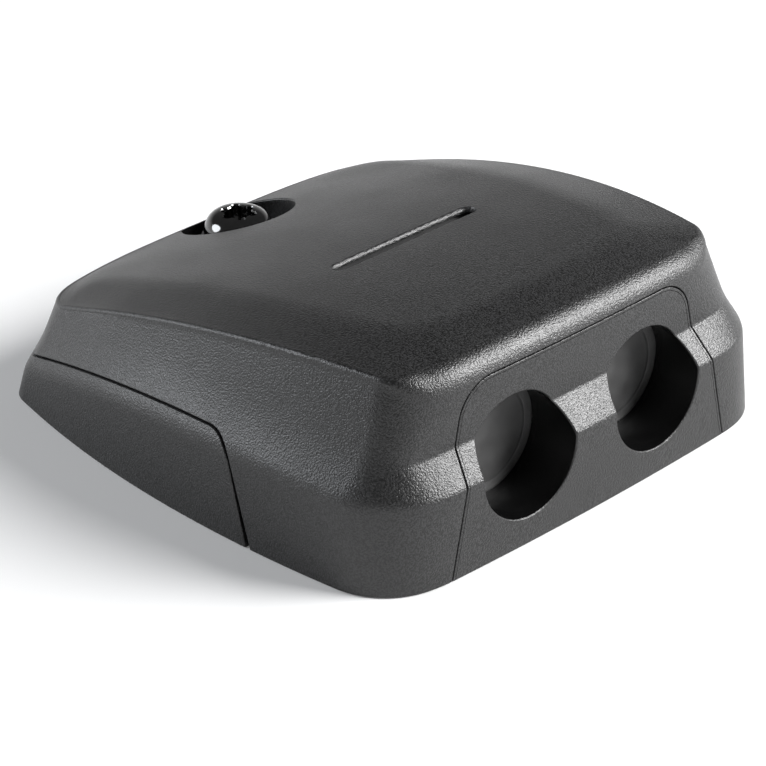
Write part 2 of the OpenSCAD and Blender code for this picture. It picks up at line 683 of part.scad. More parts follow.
module deck_plate() {
    difference() {
        linear_extrude(plate_t)
            polygon(loop(foot_plan(wall_t + plate_gap)));
        intersection() {
            front_layer(-1, wall_t + flange_gap + flange_t + plate_gap, -1);
            panel_column(panel_gap, -1);
        }
    }
}

// Hole through a plate of thickness t, countersunk at its upper end
module sunk_hole(r, sink_r, t) {
    rotate_extrude()
        polygon([[0, -1], [r, -1], [r, t - sink_r + r], [sink_r, t], [sink_r, t + 1], [0, t + 1]]);
}
module at_deck_screws() {
    for (x = [-1, 1], y = [-1, 1])
        translate([x * deck_screw_x / 2, deck_screw_cy + y * deck_screw_y / 2, 0])
            children();
}

// Sealing cord on the base's lip, against the inside of the cover, on one side
cord_last = n_half - n_rear - 2;
cord_in = wall_t + cord_r + cord_gap;
cord_up = lip_h + cord_r + cord_gap;
function cord_point(j, z, tries = 6) = let (p = wall_point(j, z, cord_in))
    tries == 0 ? p : cord_point(j, seam_z(p.y) + cord_up, tries - 1);
cord_path = [for (j = [wall_first + 3:cord_last]) cord_point(j, seam_z(deck_plan[j][0].y) + cord_up)];
module side_cord(side, r) {
    path = [for (p = cord_path) side > 0 ? p : flip(p)];
    n = len(path);
    rings = [for (i = [0:n - 1])
        let (d = unit(path[min(i + 1, n - 1)] - path[max(i - 1, 0)]), u = unit(cross(d, [0, 0, 1])), v = cross(u, d))
        [for (k = [0:7]) path[i] + r * (cos(45 * k) * u + sin(45 * k) * v)]];
    faces = concat(
        [[for (k = [0:7]) k]],
        [for (i = [0:n - 2], k = [0:7]) let (l = (k + 1) % 8) [i * 8 + k, (i + 1) * 8 + k, (i + 1) * 8 + l]],
        [for (i = [0:n - 2], k = [0:7]) let (l = (k + 1) % 8) [i * 8 + k, (i + 1) * 8 + l, i * 8 + l]],
        [[for (k = [7:-1:0]) (n - 1) * 8 + k]]);
    polyhedron([for (r = rings) each r], faces);
}
module left_side_seal() {
    color([0.08, 0.08, 0.08])
        side_cord(-1, cord_r);
}
module right_side_seal() {
    color([0.08, 0.08, 0.08])
        side_cord(1, cord_r);
}

// Flat gasket in the underside of the base, cut off in front and open round the collar, the pads and the tower
function gasket_plan(edge) = [for (p = half_outline(front_y + edge, half_w - edge, rear_y - edge,
    front_bow_half - edge, front_corner_r, rear_corner_r, side_mid_y, side_front_r - edge, side_rear_r - edge)) p[0]];
module deck_gasket_shape(gap, t, low = 0) {
    translate([0, 0, low])
        difference() {
            linear_extrude(t - low)
                intersection() {
                    polygon(loop(gasket_plan(deck_gasket_in - gap)));
                    translate([-far / 2, front_y + deck_gasket_d - gap])
                        square(far);
                }
            translate([0, deck_hole_y, -5])
                cylinder(h = 10, r = deck_hole_r + collar_t - gap);
            at_deck_screws()
                translate([0, 0, -5])
                    cylinder(h = 10, r = deck_pad_r - gap);
            translate([-tower_w / 2 + gap, bolt_y - insert_r - 2 + gap, -5])
                cube([tower_w - 2 * gap, 30, 10]);
        }
}
module deck_gasket() {
    color([0.1, 0.1, 0.1])
        deck_gasket_shape(0, deck_gasket_t);
}

// Front panel moulding with the two port tubes
module port_panel() {
    flange_in = wall_t + flange_gap;
    color([0.17, 0.17, 0.18])
        difference() {
            union() {
                intersection() {
                    front_layer(0, flange_in + flange_t);
                    panel_column(0);
                }
                intersection() {
                    front_layer(flange_in, flange_in + flange_t, plate_t);
                    panel_column(flange_w, plate_t);
                }
                intersection() {
                    front_layer(flange_in, 20);
                    at_ports()
                        along_y(front_y, tube_y, tube_r);
                }
                for (i = [0:3])
                    intersection() {
                        front_layer(flange_in, 22, plate_t);
                        at_clamp_screw(i)
                            along_y(front_y, clamp_y, boss_r);
                    }
                intersection() {
                    front_layer(flange_in, 20, plate_t);
                    for (side = [0, 1])
                        mirror([side, 0, 0])
                            translate([panel_screw_x, front_y + panel_screw_d, 0])
                                panel_foot();
                }
            }
            at_ports()
                along_y(front_y - 1, tube_y + 1, port_r);
            for (i = [0:3])
                at_clamp_screw(i)
                    along_y(clamp_y - clamp_screw_len, clamp_y + 1, small_screw_r);
            at_panel_screws()
                translate([0, 0, -1])
                    cylinder(h = panel_screw_len + 1.5, r = small_screw_r);
            panel_gasket_groove();
        }
}
module panel_foot() {
    cylinder(h = foot_h, r = boss_r);
    translate([-boss_r, -boss_r - flange_t, 0])
        cube([boss_r, boss_r + flange_t, foot_h]);
}
module panel_gasket_band(depth) {
    flange_in = wall_t + flange_gap;
    edge = (flange_w + panel_gasket_w) / 2;
    intersection() {
        front_layer(flange_in - (depth > panel_gasket_t ? 0.5 : 0), flange_in + panel_gasket_t, plate_t);
        difference() {
            panel_column(edge, plate_t);
            panel_column(edge - panel_gasket_w, -1);
        }
    }
}
module panel_gasket_groove() {
    panel_gasket_band(panel_gasket_t + 0.5);
}
module panel_gasket() {
    color([0.08, 0.08, 0.08])
        panel_gasket_band(panel_gasket_t);
}

// Blank rubber seal of one port, turned about the port's axis
module cable_seal(side) {
    dish_r = port_r - seal_rim;
    steps = 6;
    dish = [for (i = [0:steps]) [dish_r * i / steps, seal_dish * (1 - pow(i / steps, 2))]];
    color([0.12, 0.12, 0.12])
        translate([side * port_pitch / 2, seal_y, port_h])
            rotate([-90, 0, 0])
                rotate_extrude()
                    polygon(concat(dish, [
                        [tube_r, 0],
                        [tube_r, seal_flange_t],
                        [sleeve_r, seal_flange_t],
                        [sleeve_r - 0.4, seal_flange_t + sleeve_len],
                        [sleeve_r - sleeve_t, seal_flange_t + sleeve_len],
                        [sleeve_r - sleeve_t, seal_blank_t],
                        [0, seal_blank_t + seal_dish]]));
}
module left_cable_seal() {
    cable_seal(-1);
}
module right_cable_seal() {
    cable_seal(1);
}

// Plate that presses the seals against the port tubes
module seal_clamp() {
    ring_r = tube_r + clamp_rim;
    low = plate_t + 0.2;
    color([0.3, 0.3, 0.31])
        difference() {
            intersection() {
                union() {
                    hull()
                        at_ports()
                            along_y(clamp_y, clamp_y + clamp_t, ring_r);
                    hull()
                        for (i = [0:1])
                            at_clamp_screw(i)
                                along_y(clamp_y, clamp_y + clamp_t, boss_r + 0.6);
                    at_clamp_screw(2)
                        along_y(clamp_y, clamp_y + clamp_t, boss_r + 0.6);
                }
                translate([-far / 2, front_y, low])
                    cube(far);
            }
            at_ports()
                along_y(clamp_y - 1, clamp_y + clamp_t + 1, sleeve_r + seal_gap);
            for (i = [0:3])
                at_clamp_screw(i)
                    along_y(clamp_y - 1, clamp_y + clamp_t + 1, small_screw_r + seal_gap);
        }
}

// Small pan head screw along -Y, with its seat at y = 0
module small_screw(len) {
    color([0.75, 0.75, 0.77])
        difference() {
            rotate([-90, 0, 0])
                rotate_extrude()
                    polygon(concat(
                        [[0, -len], [small_screw_r - 0.05, -len + 0.8], [small_screw_r - 0.05, 0], [small_head_r, 0]],
                        [for (i = [0:5]) [small_head_r * cos(15 * i), small_head_h * (0.45 + 0.55 * sin(15 * i))]],
                        [[0, small_head_h]]));
            for (a = [0, 90])
                rotate([0, a, 0])
                    translate([-1.3, small_head_h - 1.1, -0.35])
                        cube([2.6, 3, 0.7]);
        }
}
module clamp_screw(i) {
    at_clamp_screw(i)
        translate([0, clamp_y + clamp_t, 0])
            small_screw(clamp_screw_len + clamp_t - 0.5);
}
module clamp_screw_left() {
    clamp_screw(0);
}
module clamp_screw_right() {
    clamp_screw(1);
}
module clamp_screw_upper() {
    clamp_screw(2);
}
module clamp_screw_lower() {
    clamp_screw(3);
}

// Countersunk screw that holds one foot of the panel, from below
module panel_screw(side) {
    color([0.75, 0.75, 0.77])
        translate([side * panel_screw_x, front_y + panel_screw_d, 0])
            difference() {
                rotate_extrude()
                    polygon([[0, 0.1], [small_head_r, 0.1], [small_screw_r - 0.05, 1.65],
                        [small_screw_r - 0.05, panel_screw_len - 0.8], [0, panel_screw_len]]);
                for (a = [0, 90])
                    rotate([0, 0, a])
                        translate([-1.2, -0.35, -1])
                            cube([2.4, 0.7, 2]);
            }
}
module panel_screw_left() {
    panel_screw(-1);
}
module panel_screw_right() {
    panel_screw(1);
}

// Threaded insert in the bolt tower
module threaded_insert() {
    color([0.8, 0.65, 0.3])
        translate([0, bolt_y, tower_h - insert_len])
            difference() {
                union() {
                    cylinder(h = insert_len, r = insert_r - 0.3);
                    for (z = [0, insert_len - 2])
                        translate([0, 0, z])
                            cylinder(h = 2, r = insert_r);
                }
                translate([0, 0, -1])
                    cylinder(h = insert_len + 2, r = bolt_r);
            }
}

// Domed pan head bolt with a six-lobed recess
module cover_bolt() {
    shank = bolt_r - thread_gap;
    length = head_h - (tower_h - insert_len) + 1;
    lobes = 6;
    color([0.8, 0.8, 0.82])
        translate([0, bolt_y, head_h])
            difference() {
                rotate_extrude()
                    polygon(concat(
                        [[0, -length], [shank - 0.6, -length], [shank, -length + 0.6], [shank, 0], [bolt_head_r - 0.3, 0]],
                        [for (i = [0:8]) let (a = 11 * i)
                            [bolt_head_r * pow(cos(a), 0.5), 0.9 + (bolt_head_h - 0.9) * pow(sin(a), 1.2)]],
                        [[0, bolt_head_h]]));
                translate([0, 0, bolt_head_h - 2.4]) {
                    cylinder(h = 5, r = 1.9);
                    for (k = [1:lobes])
                        rotate([0, 0, 360 / lobes * k])
                            translate([1.9, 0, 0])
                                cylinder(h = 5, r = 0.75, $fn = 24);
                }
            }
}
module bolt_washer() {
    color([0.7, 0.7, 0.72])
        translate([0, bolt_y, pocket_h])
            difference() {
                cylinder(h = washer_t, r = washer_r);
                translate([0, 0, -1])
                    cylinder(h = washer_t + 2, r = bolt_r + bolt_gap);
            }
}
module bolt_o_ring() {
    color([0.08, 0.08, 0.08])
        translate([0, bolt_y, pocket_h - o_ring_d / 2])
            rotate_extrude()
                translate([bolt_r + o_ring_gap + o_ring_d / 2, 0])
                    circle(r = o_ring_d / 2, $fn = 24);
}
module bolt_retaining_ring() {
    color([0.6, 0.6, 0.62])
        translate([0, bolt_y, pocket_h - floor_t - tower_gap / 2 - ring_t / 2])
            difference() {
                cylinder(h = ring_t, r = ring_r);
                translate([0, 0, -1])
                    cylinder(h = ring_t + 2, r = bolt_r - thread_gap);
            }
}

cover();
base();
port_panel();
panel_gasket();
left_cable_seal();
right_cable_seal();
seal_clamp();
clamp_screw_left();
clamp_screw_right();
clamp_screw_upper();
clamp_screw_lower();
panel_screw_left();
panel_screw_right();
left_side_seal();
right_side_seal();
deck_gasket();
threaded_insert();
cover_bolt();
bolt_washer();
bolt_o_ring();
bolt_retaining_ring();
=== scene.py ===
"""Dressed model of a two-cable deck housing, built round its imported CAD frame.

Forms are worked out in millimetres, each as a closed surface made of whole arrays. Closed
cutters and added solids then shape it, and the finished mesh is brought to metres, with
its object at the origin.
"""

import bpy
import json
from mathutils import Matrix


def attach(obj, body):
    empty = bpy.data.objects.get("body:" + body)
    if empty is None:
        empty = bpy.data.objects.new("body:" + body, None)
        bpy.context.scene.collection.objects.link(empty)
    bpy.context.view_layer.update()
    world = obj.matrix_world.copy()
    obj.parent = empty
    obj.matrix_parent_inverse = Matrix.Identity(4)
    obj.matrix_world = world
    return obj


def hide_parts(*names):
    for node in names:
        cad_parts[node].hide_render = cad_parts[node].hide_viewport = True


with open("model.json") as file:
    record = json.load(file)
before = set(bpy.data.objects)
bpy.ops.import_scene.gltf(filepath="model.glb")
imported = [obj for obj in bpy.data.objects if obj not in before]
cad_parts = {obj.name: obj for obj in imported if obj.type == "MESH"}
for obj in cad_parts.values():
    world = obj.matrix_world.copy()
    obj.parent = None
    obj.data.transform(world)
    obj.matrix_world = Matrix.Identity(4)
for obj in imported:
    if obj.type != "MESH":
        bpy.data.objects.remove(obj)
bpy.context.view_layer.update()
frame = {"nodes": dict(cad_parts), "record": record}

import json
import logging
import math
from collections.abc import Callable
from dataclasses import dataclass, replace
from enum import Enum
from functools import cached_property

import bmesh
import bpy
import numpy as np
from mathutils import Matrix, Vector

Array = np.ndarray
Faces = list[list[int]]
Surface = tuple[Array, Faces]
Triple = tuple[float, float, float]
MM = 0.001
MIRROR = np.array([-1.0, 1.0, 1.0])
log = logging.getLogger("housing")


class Op(Enum):
    """Ways in which one closed solid acts on another."""

    CUT = "DIFFERENCE"
    JOIN = "UNION"
    KEEP = "INTERSECT"


class Axis(Enum):
    """Directions along which an outline is carried to make a prism."""

    X = 0
    Y = 1
    Z = 2


class Level(Enum):
    """Lines of the housing's form that have a plan outline of their own."""

    DECK = "deck"
    WAIST = "waist"
    BAND = "band"
    CREASE = "crease"


# Small helpers on arrays


def smooth(t: Array | float) -> Array:
    """Eased step, 0 below 0 and 1 above 1."""
    u = np.clip(t, 0.0, 1.0)
    return u * u * (3 - 2 * u)


def mix(a: Array | float, b: Array | float, t: Array | float) -> Array:
    """Value a share t of the way from a to b."""
    return a + (b - a) * t


def unit(v: Array) -> Array:
    """Vectors v at length one."""
    return v / np.linalg.norm(v, axis=-1, keepdims=True)


def ray(angle: Array | float) -> Array:
    """Directions in the plane at those angles, in radians."""
    return np.stack([np.cos(angle), np.sin(angle)], axis=-1)


def heading(v: Array) -> float:
    """Angle of a vector in the plane, in radians."""
    return math.atan2(v[1], v[0])


def run(a: Array, b: Array, n: int) -> Array:
    """Rows on straight lines from row a to row b, without the last.

    Args:
        a: First row of points.
        b: Row that the lines lead to.
        n: Number of rows.

    Returns:
        An array of n rows.
    """
    t = np.linspace(0, 1, n, endpoint=False)[:, None, None]
    return mix(a[None], b[None], t)


def bend(a: Array, corner: Array, b: Array, n: int) -> Array:
    """Rows that round a corner on parabolas, without the last.

    Point t of each parabola is (1 - t)^2 a + 2 t (1 - t) corner + t^2 b.

    Args:
        a: Row in which the bends start.
        corner: Row of the corners that they stay inside of.
        b: Row in which they end.
        n: Number of rows.

    Returns:
        An array of n rows.
    """
    t = np.linspace(0, 1, n, endpoint=False)[:, None, None]
    return (1 - t) ** 2 * a + 2 * t * (1 - t) * corner + t**2 * b


def meet(a: Array, ra: float, b: Array, rb: float, lower: bool) -> Array:
    """Point in which two circles meet.

    Args:
        a: Centre of the first circle.
        ra: Its radius.
        b: Centre of the second circle.
        rb: Its radius.
        lower: Whether the point with the lower y is wanted.

    Returns:
        The point.
    """
    d = b - a
    dist = float(np.linalg.norm(d))
    along = (ra * ra - rb * rb + dist * dist) / (2 * dist)
    across = math.sqrt(max(0.0, ra * ra - along * along))
    middle = a + d * along / dist
    side = np.array([-d[1], d[0]]) / dist
    p, q = middle + across * side, middle - across * side
    return p if lower == bool(p[1] < q[1]) else q


def whole(half: Array) -> Array:
    """Whole loop of points from its right half, mirrored in x = 0."""
    mirrored = half[..., -2:0:-1, :] * MIRROR[:half.shape[-1]]
    return np.concatenate([half, mirrored], axis=-2)


# Closed surfaces as points and faces


def bands(start: int, rows: int, cols: int, flipped: bool = False) -> Faces:
    """Quads between successive closed rows of points.

    Args:
        start: Number of the first point.
        rows: Number of rows.
        cols: Points in a row.
        flipped: Whether the faces look inwards.

    Returns:
        The quads.
    """
    r, c = np.meshgrid(np.arange(rows - 1), np.arange(cols), indexing="ij")
    a = start + r * cols + c
    b = start + r * cols + (c + 1) % cols
    quads = np.stack([a, b, b + cols, a + cols], -1).reshape(-1, 4)
    return (quads[:, ::-1] if flipped else quads).tolist()


def fan(first: int, cols: int, tip: int, flipped: bool = False) -> Faces:
    """Triangles from a closed row of points to the point that closes it.

    Args:
        first: Number of the row's first point.
        cols: Points in the row.
        tip: Number of the point that closes it.
        flipped: Whether the faces look inwards.

    Returns:
        The triangles.
    """
    a = first + np.arange(cols)
    b = first + (np.arange(cols) + 1) % cols
    tris = np.stack([a, b, np.full(cols, tip)], -1)
    return (tris[:, ::-1] if flipped else tris).tolist()


def shell(outer: Array, tip: Array, inner: Array, inner_tip: Array) -> Surface:
    """Closed shell from the rows of its outside and of its inside.

    Args:
        outer: Rows of the outside, from the rim upwards.
        tip: Point that closes the outside above.
        inner: Rows of the inside, with as many points in each.
        inner_tip: Point that closes the inside above.

    Returns:
        Points and faces.
    """
    m, n, _ = outer.shape
    k = inner.shape[0]
    b = m * n + 1
    points = np.concatenate([outer.reshape(-1, 3), tip[None], inner.reshape(-1, 3), inner_tip[None]])
    i = np.arange(n)
    j = (i + 1) % n
    rim = np.stack([i, b + i, b + j, j], -1).tolist()
    faces = bands(0, m, n) + fan((m - 1) * n, n, m * n)
    faces += bands(b, k, n, True) + fan(b + (k - 1) * n, n, b + k * n, True) + rim
    return points, faces


def loft(rows: Array, ring: bool = False) -> Surface:
    """Closed surface through closed rows of points.

    Args:
        rows: Rows of points, each a closed loop.
        ring: Whether the last row joins the first. If not, flat faces close both ends.

    Returns:
        Points and faces.
    """
    m, n, _ = rows.shape
    faces = bands(0, m, n)
    if ring:
        i = np.arange(n)
        j = (i + 1) % n
        last = (m - 1) * n
        faces += np.stack([last + i, last + j, j, i], -1).tolist()
    else:
        faces += [list(range(n - 1, -1, -1)), list(range((m - 1) * n, m * n))]
    return rows.reshape(-1, 3), faces


def prism(outline: Array, axis: Axis, low: float, high: float) -> Surface:
    """Outline in a plane, carried straight along the axis across that plane.

    Args:
        outline: Points in the plane of the other two axes, in the order of their letters.
        axis: Axis along which the outline is carried.
        low: Where it starts on the axis.
        high: Where it ends.

    Returns:
        Points and faces.
    """
    others = [a for a in range(3) if a != axis.value]
    rows = np.zeros((2, len(outline), 3))
    rows[..., others] = outline
    rows[0, :, axis.value] = low
    rows[1, :, axis.value] = high
    return loft(rows)


def block(x: tuple[float, float], y: tuple[float, float], z: tuple[float, float]) -> Surface:
    """Box between pairs of limits."""
    return prism(np.array([[x[0], y[0]], [x[1], y[0]], [x[1], y[1]], [x[0], y[1]]]), Axis.Z, *z)


def turned(profile: Array, centre: Triple, axis: Axis = Axis.Z, n: int = 96) -> Surface:
    """Profile of radius and height, turned about an axis and closed by flat ends.

    Args:
        profile: Points (radius, height), all off the axis.
        centre: Point of the axis at height 0.
        axis: Direction of the heights: Z, or Y.
        n: Number of steps in a turn.

    Returns:
        Points and faces.
    """
    t = np.linspace(0, 2 * np.pi, n, endpoint=False)
    x = profile[:, :1] * np.cos(t)
    y = profile[:, :1] * np.sin(t)
    h = np.repeat(profile[:, 1:], n, axis=1)
    rows = np.stack([x, y, h], -1) if axis is Axis.Z else np.stack([x, h, -y], -1)
    return loft(rows + np.array(centre))


def disc(radius: float, low: float, high: float, centre: Triple, axis: Axis = Axis.Z,
         ease: float = 0.0) -> Surface:
    """Cylinder with its upper rim rounded by ease.

    Args:
        radius: Radius of the cylinder.
        low: Where it starts along its axis, from the centre.
        high: Where it ends.
        centre: Point on the axis.
        axis: Direction of the axis: Z, or Y.
        ease: Radius of the rounded rim, or 0.

    Returns:
        Points and faces.
    """
    turn = np.radians(np.linspace(0, 90, 6))
    rim = np.array([radius, high]) - ease + ease * ray(turn) if ease else [[radius, high]]
    return turned(np.concatenate([[[radius, low]], rim]), centre, axis)


def sweep(path: Array, normals: Array, section: Array, ring: bool) -> Surface:
    """Section carried along a path on a surface.

    Each point of the section is (across, out): it is moved from the path by across times
    the direction beside the path, and by out times the surface's normal.

    Args:
        path: Points of the path.
        normals: Normal of the surface at each of them.
        section: Outline of the section.
        ring: Whether the path closes on itself.

    Returns:
        Points and faces.
    """
    if ring:
        ahead = unit(np.roll(path, -1, axis=0) - np.roll(path, 1, axis=0))
    else:
        ahead = unit(np.gradient(path, axis=0))
    across = unit(np.cross(ahead, normals))
    out = np.cross(across, ahead)
    rows = path[:, None] + section[None, :, :1] * across[:, None] + section[None, :, 1:] * out[:, None]
    return loft(rows, ring)


def rounding(radius: float) -> Array:
    """Section of the cutter that rounds an edge on both of its sides.

    Each side is an arc about a point that lies one radius beside the edge and one below the
    surface. The arcs stop short of both faces, so that they cross them at 24 degrees.

    Args:
        radius: Radius of the rounding.

    Returns:
        Points (across, out).
    """
    a = np.radians([24, 38, 52, 66])
    arc = radius * np.stack([1 - np.cos(a), np.sin(a) - 1], -1)
    foot = np.array([[0.0, arc[0, 1] - arc[0, 0] / math.tan(a[0])]])
    rise = 0.2
    over = arc[-1:] + (rise - arc[-1:, 1:]) * np.array([[math.tan(a[-1]), 1.0]])
    right = np.concatenate([arc, over])
    return np.concatenate([foot, right, right[::-1] * MIRROR[:2]])


# Solids, and how they are shaped


class Solid:
    """A closed mesh in millimetres that others are cut from, joined to or kept within."""

    def __init__(self, surface: Surface) -> None:
        """Makes the mesh of a closed surface, with its faces outwards.

        Args:
            surface: Points and faces.
        """
        points, faces = surface
        mesh = bpy.data.meshes.new("solid")
        mesh.from_pydata(points.tolist(), [], faces)
        work = bmesh.new()
        work.from_mesh(mesh)
        bmesh.ops.recalc_face_normals(work, faces=work.faces)
        work.to_mesh(mesh)
        work.free()
        self.body = bpy.data.objects.new("solid", mesh)
        bpy.context.scene.collection.objects.link(self.body)

    def act(self, op: Op, others: list["Solid"]) -> "Solid":
        """Cuts, joins or keeps within other solids, which are used up.

        Args:
            op: What the others do to this one.
            others: The other solids.

        Returns:
            This solid.
        """
        for other in others:
            step = self.body.modifiers.new("step", "BOOLEAN")
            step.operation = op.value
            step.solver = "MANIFOLD"
            step.object = other.body
        graph = bpy.context.evaluated_depsgraph_get()
        made = bpy.data.meshes.new_from_object(self.body.evaluated_get(graph))
        self.body.modifiers.clear()
        self.body.data = made
        for other in others:
            bpy.data.objects.remove(other.body)
        return self

    def cut(self, *others: "Solid") -> "Solid":
        """Takes the others out of this solid."""
        return self.act(Op.CUT, list(others))

    def join(self, *others: "Solid") -> "Solid":
        """Adds the others to this solid."""
        return self.act(Op.JOIN, list(others))

    def keep(self, *others: "Solid") -> "Solid":
        """Keeps what lies inside each of the others."""
        return self.act(Op.KEEP, list(others))

    def piece(self, name: str, finish: "Finish", sharp_deg: float = 20.0) -> bpy.types.Object:
        """Brings the solid to metres as a finished piece.

        Args:
            name: The piece's name.
            finish: Its finish.
            sharp_deg: Edges that turn by more than this angle stay sharp.

        Returns:
            The piece's object, at the origin.
        """
        mesh = self.body.data
        mesh.transform(Matrix.Scale(MM, 4))
        mesh.materials.clear()
        mesh.materials.append(finish.material())
        mesh.shade_smooth()
        mesh.set_sharp_from_angle(angle=math.radians(sharp_deg))
        mesh.name = name
        self.body.name = name
        return self.body


def dress_faces(piece: bpy.types.Object, test: Callable[[Array], Array], finish: "Finish") -> None:
    """Gives another finish to the faces whose centres, in millimetres, pass the test.

    Args:
        piece: The finished piece.
        test: From the centres to whether each face takes the finish.
        finish: The finish.
    """
    mesh = piece.data
    centres = np.empty(3 * len(mesh.polygons))
    mesh.polygons.foreach_get("center", centres)
    index = np.empty(len(mesh.polygons), dtype=np.int32)
    mesh.polygons.foreach_get("material_index", index)
    mesh.materials.append(finish.material())
    index[test(centres.reshape(-1, 3) / MM)] = len(mesh.materials) - 1
    mesh.polygons.foreach_set("material_index", index)


# Form of the housing


@dataclass(frozen=True)
class HousingForm:
    """Outer form of the housing, in millimetres, with the same sizes as the CAD source."""

    width: float = 98.0
    depth: float = 98.0
    wall: float = 2.4
    side_mid: float = 51.0
    side_front_r: float = 250.0
    side_rear_r: float = 208.0
    bow_r: float = 690.0
    bow_half: float = 31.4
    ease_r: float = 27.0
    front_corner_r: float = 13.0
    waist_corner_r: float = 14.0
    band_corner_r: float = 7.5
    band_front_r: float = 220.0
    band_rear_r: float = 300.0
    rear_corner_r: float = 6.5
    rear_bow_r: float = 700.0
    waist_front_h: float = 15.3
    waist_side_h: float = 15.4
    waist_rear_h: float = 3.8
    waist_knee: float = 37.6
    band_rise: float = 5.2
    band_front_in: float = 4.0
    band_side_in: float = 3.4
    band_rear_in: float = 3.3
    front_draft: float = 0.2
    side_draft: float = 1.2
    upper_front_in: float = 0.2
    ridge_h: float = 35.2
    ridge_rear_h: float = 18.6
    crease_h: float = 33.4
    crease_rear_h: float = 15.8
    crest_d: float = 9.5
    crease_in: float = 8.0
    crease_mid: float = 64.0
    crease_r: float = 294.0
    top_rear_in: float = 4.6
    top_corner_r: float = 9.0
    front_edge_r: float = 4.5
    side_edge_r: float = 0.8
    front_edge_bow: float = 1.0
    field_front_share: float = 0.715
    field_rear_share: float = 0.84
    field_d: float = 14.6
    field_crown: float = 0.4
    waist_ease_front: float = 0.5
    waist_ease_side: float = 1.6
    field_bend_out: float = 0.3
    field_bend_in: float = 0.93
    field_tip: float = 0.07
    field_rings: int = 17
    field_mid: float = 28.0
    field_back_len: float = 30.0
    field_fore: float = 2.6
    field_fore_len: float = 12.0
    edge_fade: float = 14.0
    edge_rear_len: float = 12.0
    edge_front_len: float = 8.0
    edge_middle: float = 0.293
    front_edge_share: float = 0.82
    waist_bow_in: float = 2.0
    band_bow_in: float = 1.0
    crease_bow_in: float = 7.0
    hollow_front: float = 0.05
    hollow_side: float = 0.5
    hollow_high: float = 0.6
    core_edge_out: float = 0.12
    core_edge_down: float = 0.06
    core_upper: float = 0.7
    core_waist_gain: float = 1.08
    core_edge_gain: tuple[float, float] = (0.8, 1.18)
    core_levels: tuple[float, ...] = (0.95, 0.62, 0.3)
    steps: tuple[int, ...] = (26, 12, 30, 40, 40, 26, 24)
    wall_steps: tuple[int, ...] = (10, 6, 5, 9, 8)
    edge_steps: int = 12
    field_steps: tuple[int, int] = (6, 9)

    @property
    def front_y(self) -> float:
        """Place of the front wall on the deck."""
        return -self.depth / 2

    @property
    def rear_y(self) -> float:
        """Place of the rear wall on the deck."""
        return self.depth / 2

    @property
    def top_rear_y(self) -> float:
        """Place of the rear edge of the top."""
        return self.rear_y - self.top_rear_in

    @property
    def knee_y(self) -> float:
        """Where the waist begins to fall."""
        return self.front_y + self.waist_knee

    @property
    def field_cy(self) -> float:
        """Middle of the flat field."""
        return self.front_y + self.field_d + self.field_mid

    def half_outline(self, front: float, half: float, rear: float, bow_half: float, r_front: float,
                     r_rear: float, mid: float, r1: float, r2: float,
                     inset: float = 0.0) -> tuple[Array, Array]:
        """Right half of a plan outline, a chain of tangent arcs from the front's middle to the rear's.

        Args:
            front: Place of the front.
            half: Half width at the widest point.
            rear: Place of the rear.
            bow_half: Half width over which the front keeps its bow.
            r_front: Radius of the front corner.
            r_rear: Radius of the rear corner.
            mid: Place of the widest point.
            r1: Radius of the side in front of it.
            r2: Radius of the side behind it.
            inset: Distance by which the whole outline is moved inwards.

        Returns:
            Points, and the angle of the outward normal at each.
        """
        bow_c = np.array([0, front + self.bow_r])
        bow_end = -math.acos(bow_half / self.bow_r)
        ease_c = bow_c + (self.bow_r - self.ease_r) * ray(bow_end)
        side1, side2 = np.array([half - r1, mid]), np.array([half - r2, mid])
        rear_c = np.array([0, rear - self.rear_bow_r])
        c1 = meet(ease_c, self.ease_r - r_front, side1, r1 - r_front, True)
        c2 = meet(rear_c, self.rear_bow_r - r_rear, side2, r2 - r_rear, False)
        stops = [-math.pi / 2, bow_end, heading(c1 - ease_c), heading(c1 - side1), 0.0,
                 heading(c2 - side2), heading(c2 - rear_c), math.pi / 2]
        centres = [bow_c, ease_c, c1, side1, side2, c2, rear_c]
        radii = [self.bow_r, self.ease_r, r_front, r1, r2, r_rear, self.rear_bow_r]
        angles = np.concatenate([np.linspace(a, b, n, endpoint=False)
                                 for a, b, n in zip(stops[:-1], stops[1:], self.steps)])
        centre = np.repeat(np.array(centres), self.steps, axis=0)
        radius = np.repeat(np.array(radii) - inset, self.steps)[:, None]
        points = np.concatenate([centre + radius * ray(angles), [[0.0, rear - inset]]])
        return points, np.append(angles, math.pi / 2)

    @cached_property
    def side_share(self) -> Array:
        """Share of the way from the front wall to the side wall, for each point of a half outline.

        Returns:
            A column of shares.
        """
        bow, ease, corner = self.steps[:3]
        rest = sum(self.steps[3:]) + 1
        share = np.concatenate([np.zeros(bow + ease), smooth(np.arange(corner) / corner), np.ones(rest)])
        return share[:, None]

    def waist_z(self, y: Array | float) -> Array:
        """Height of the waist: level in front of the knee, and falling on a parabola behind it.

        Args:
            y: Places along the depth.

        Returns:
            The heights.
        """
        rear = (y - self.knee_y) / (self.rear_y - self.knee_y)
        fore = (self.knee_y - y) / (self.knee_y - self.front_y)
        return np.where(rear > 0, self.waist_side_h - (self.waist_side_h - self.waist_rear_h) * rear**2,
                        self.waist_side_h + (self.waist_front_h - self.waist_side_h) * fore**2)

    def fall(self, y: Array | float) -> Array:
        """Share of the top's fall at a place along it, a parabola from the crest."""
        crest = self.front_y + self.crest_d
        return ((y - crest) / (self.top_rear_y - crest)) ** 2

    def ridge_z(self, y: Array | float) -> Array:
        """Height of the ridge line."""
        return self.ridge_h - (self.ridge_h - self.ridge_rear_h) * self.fall(y)

    def crease_z(self, y: Array | float) -> Array:
        """Height of the side crease."""
        return self.crease_h - (self.crease_h - self.crease_rear_h) * self.fall(y)

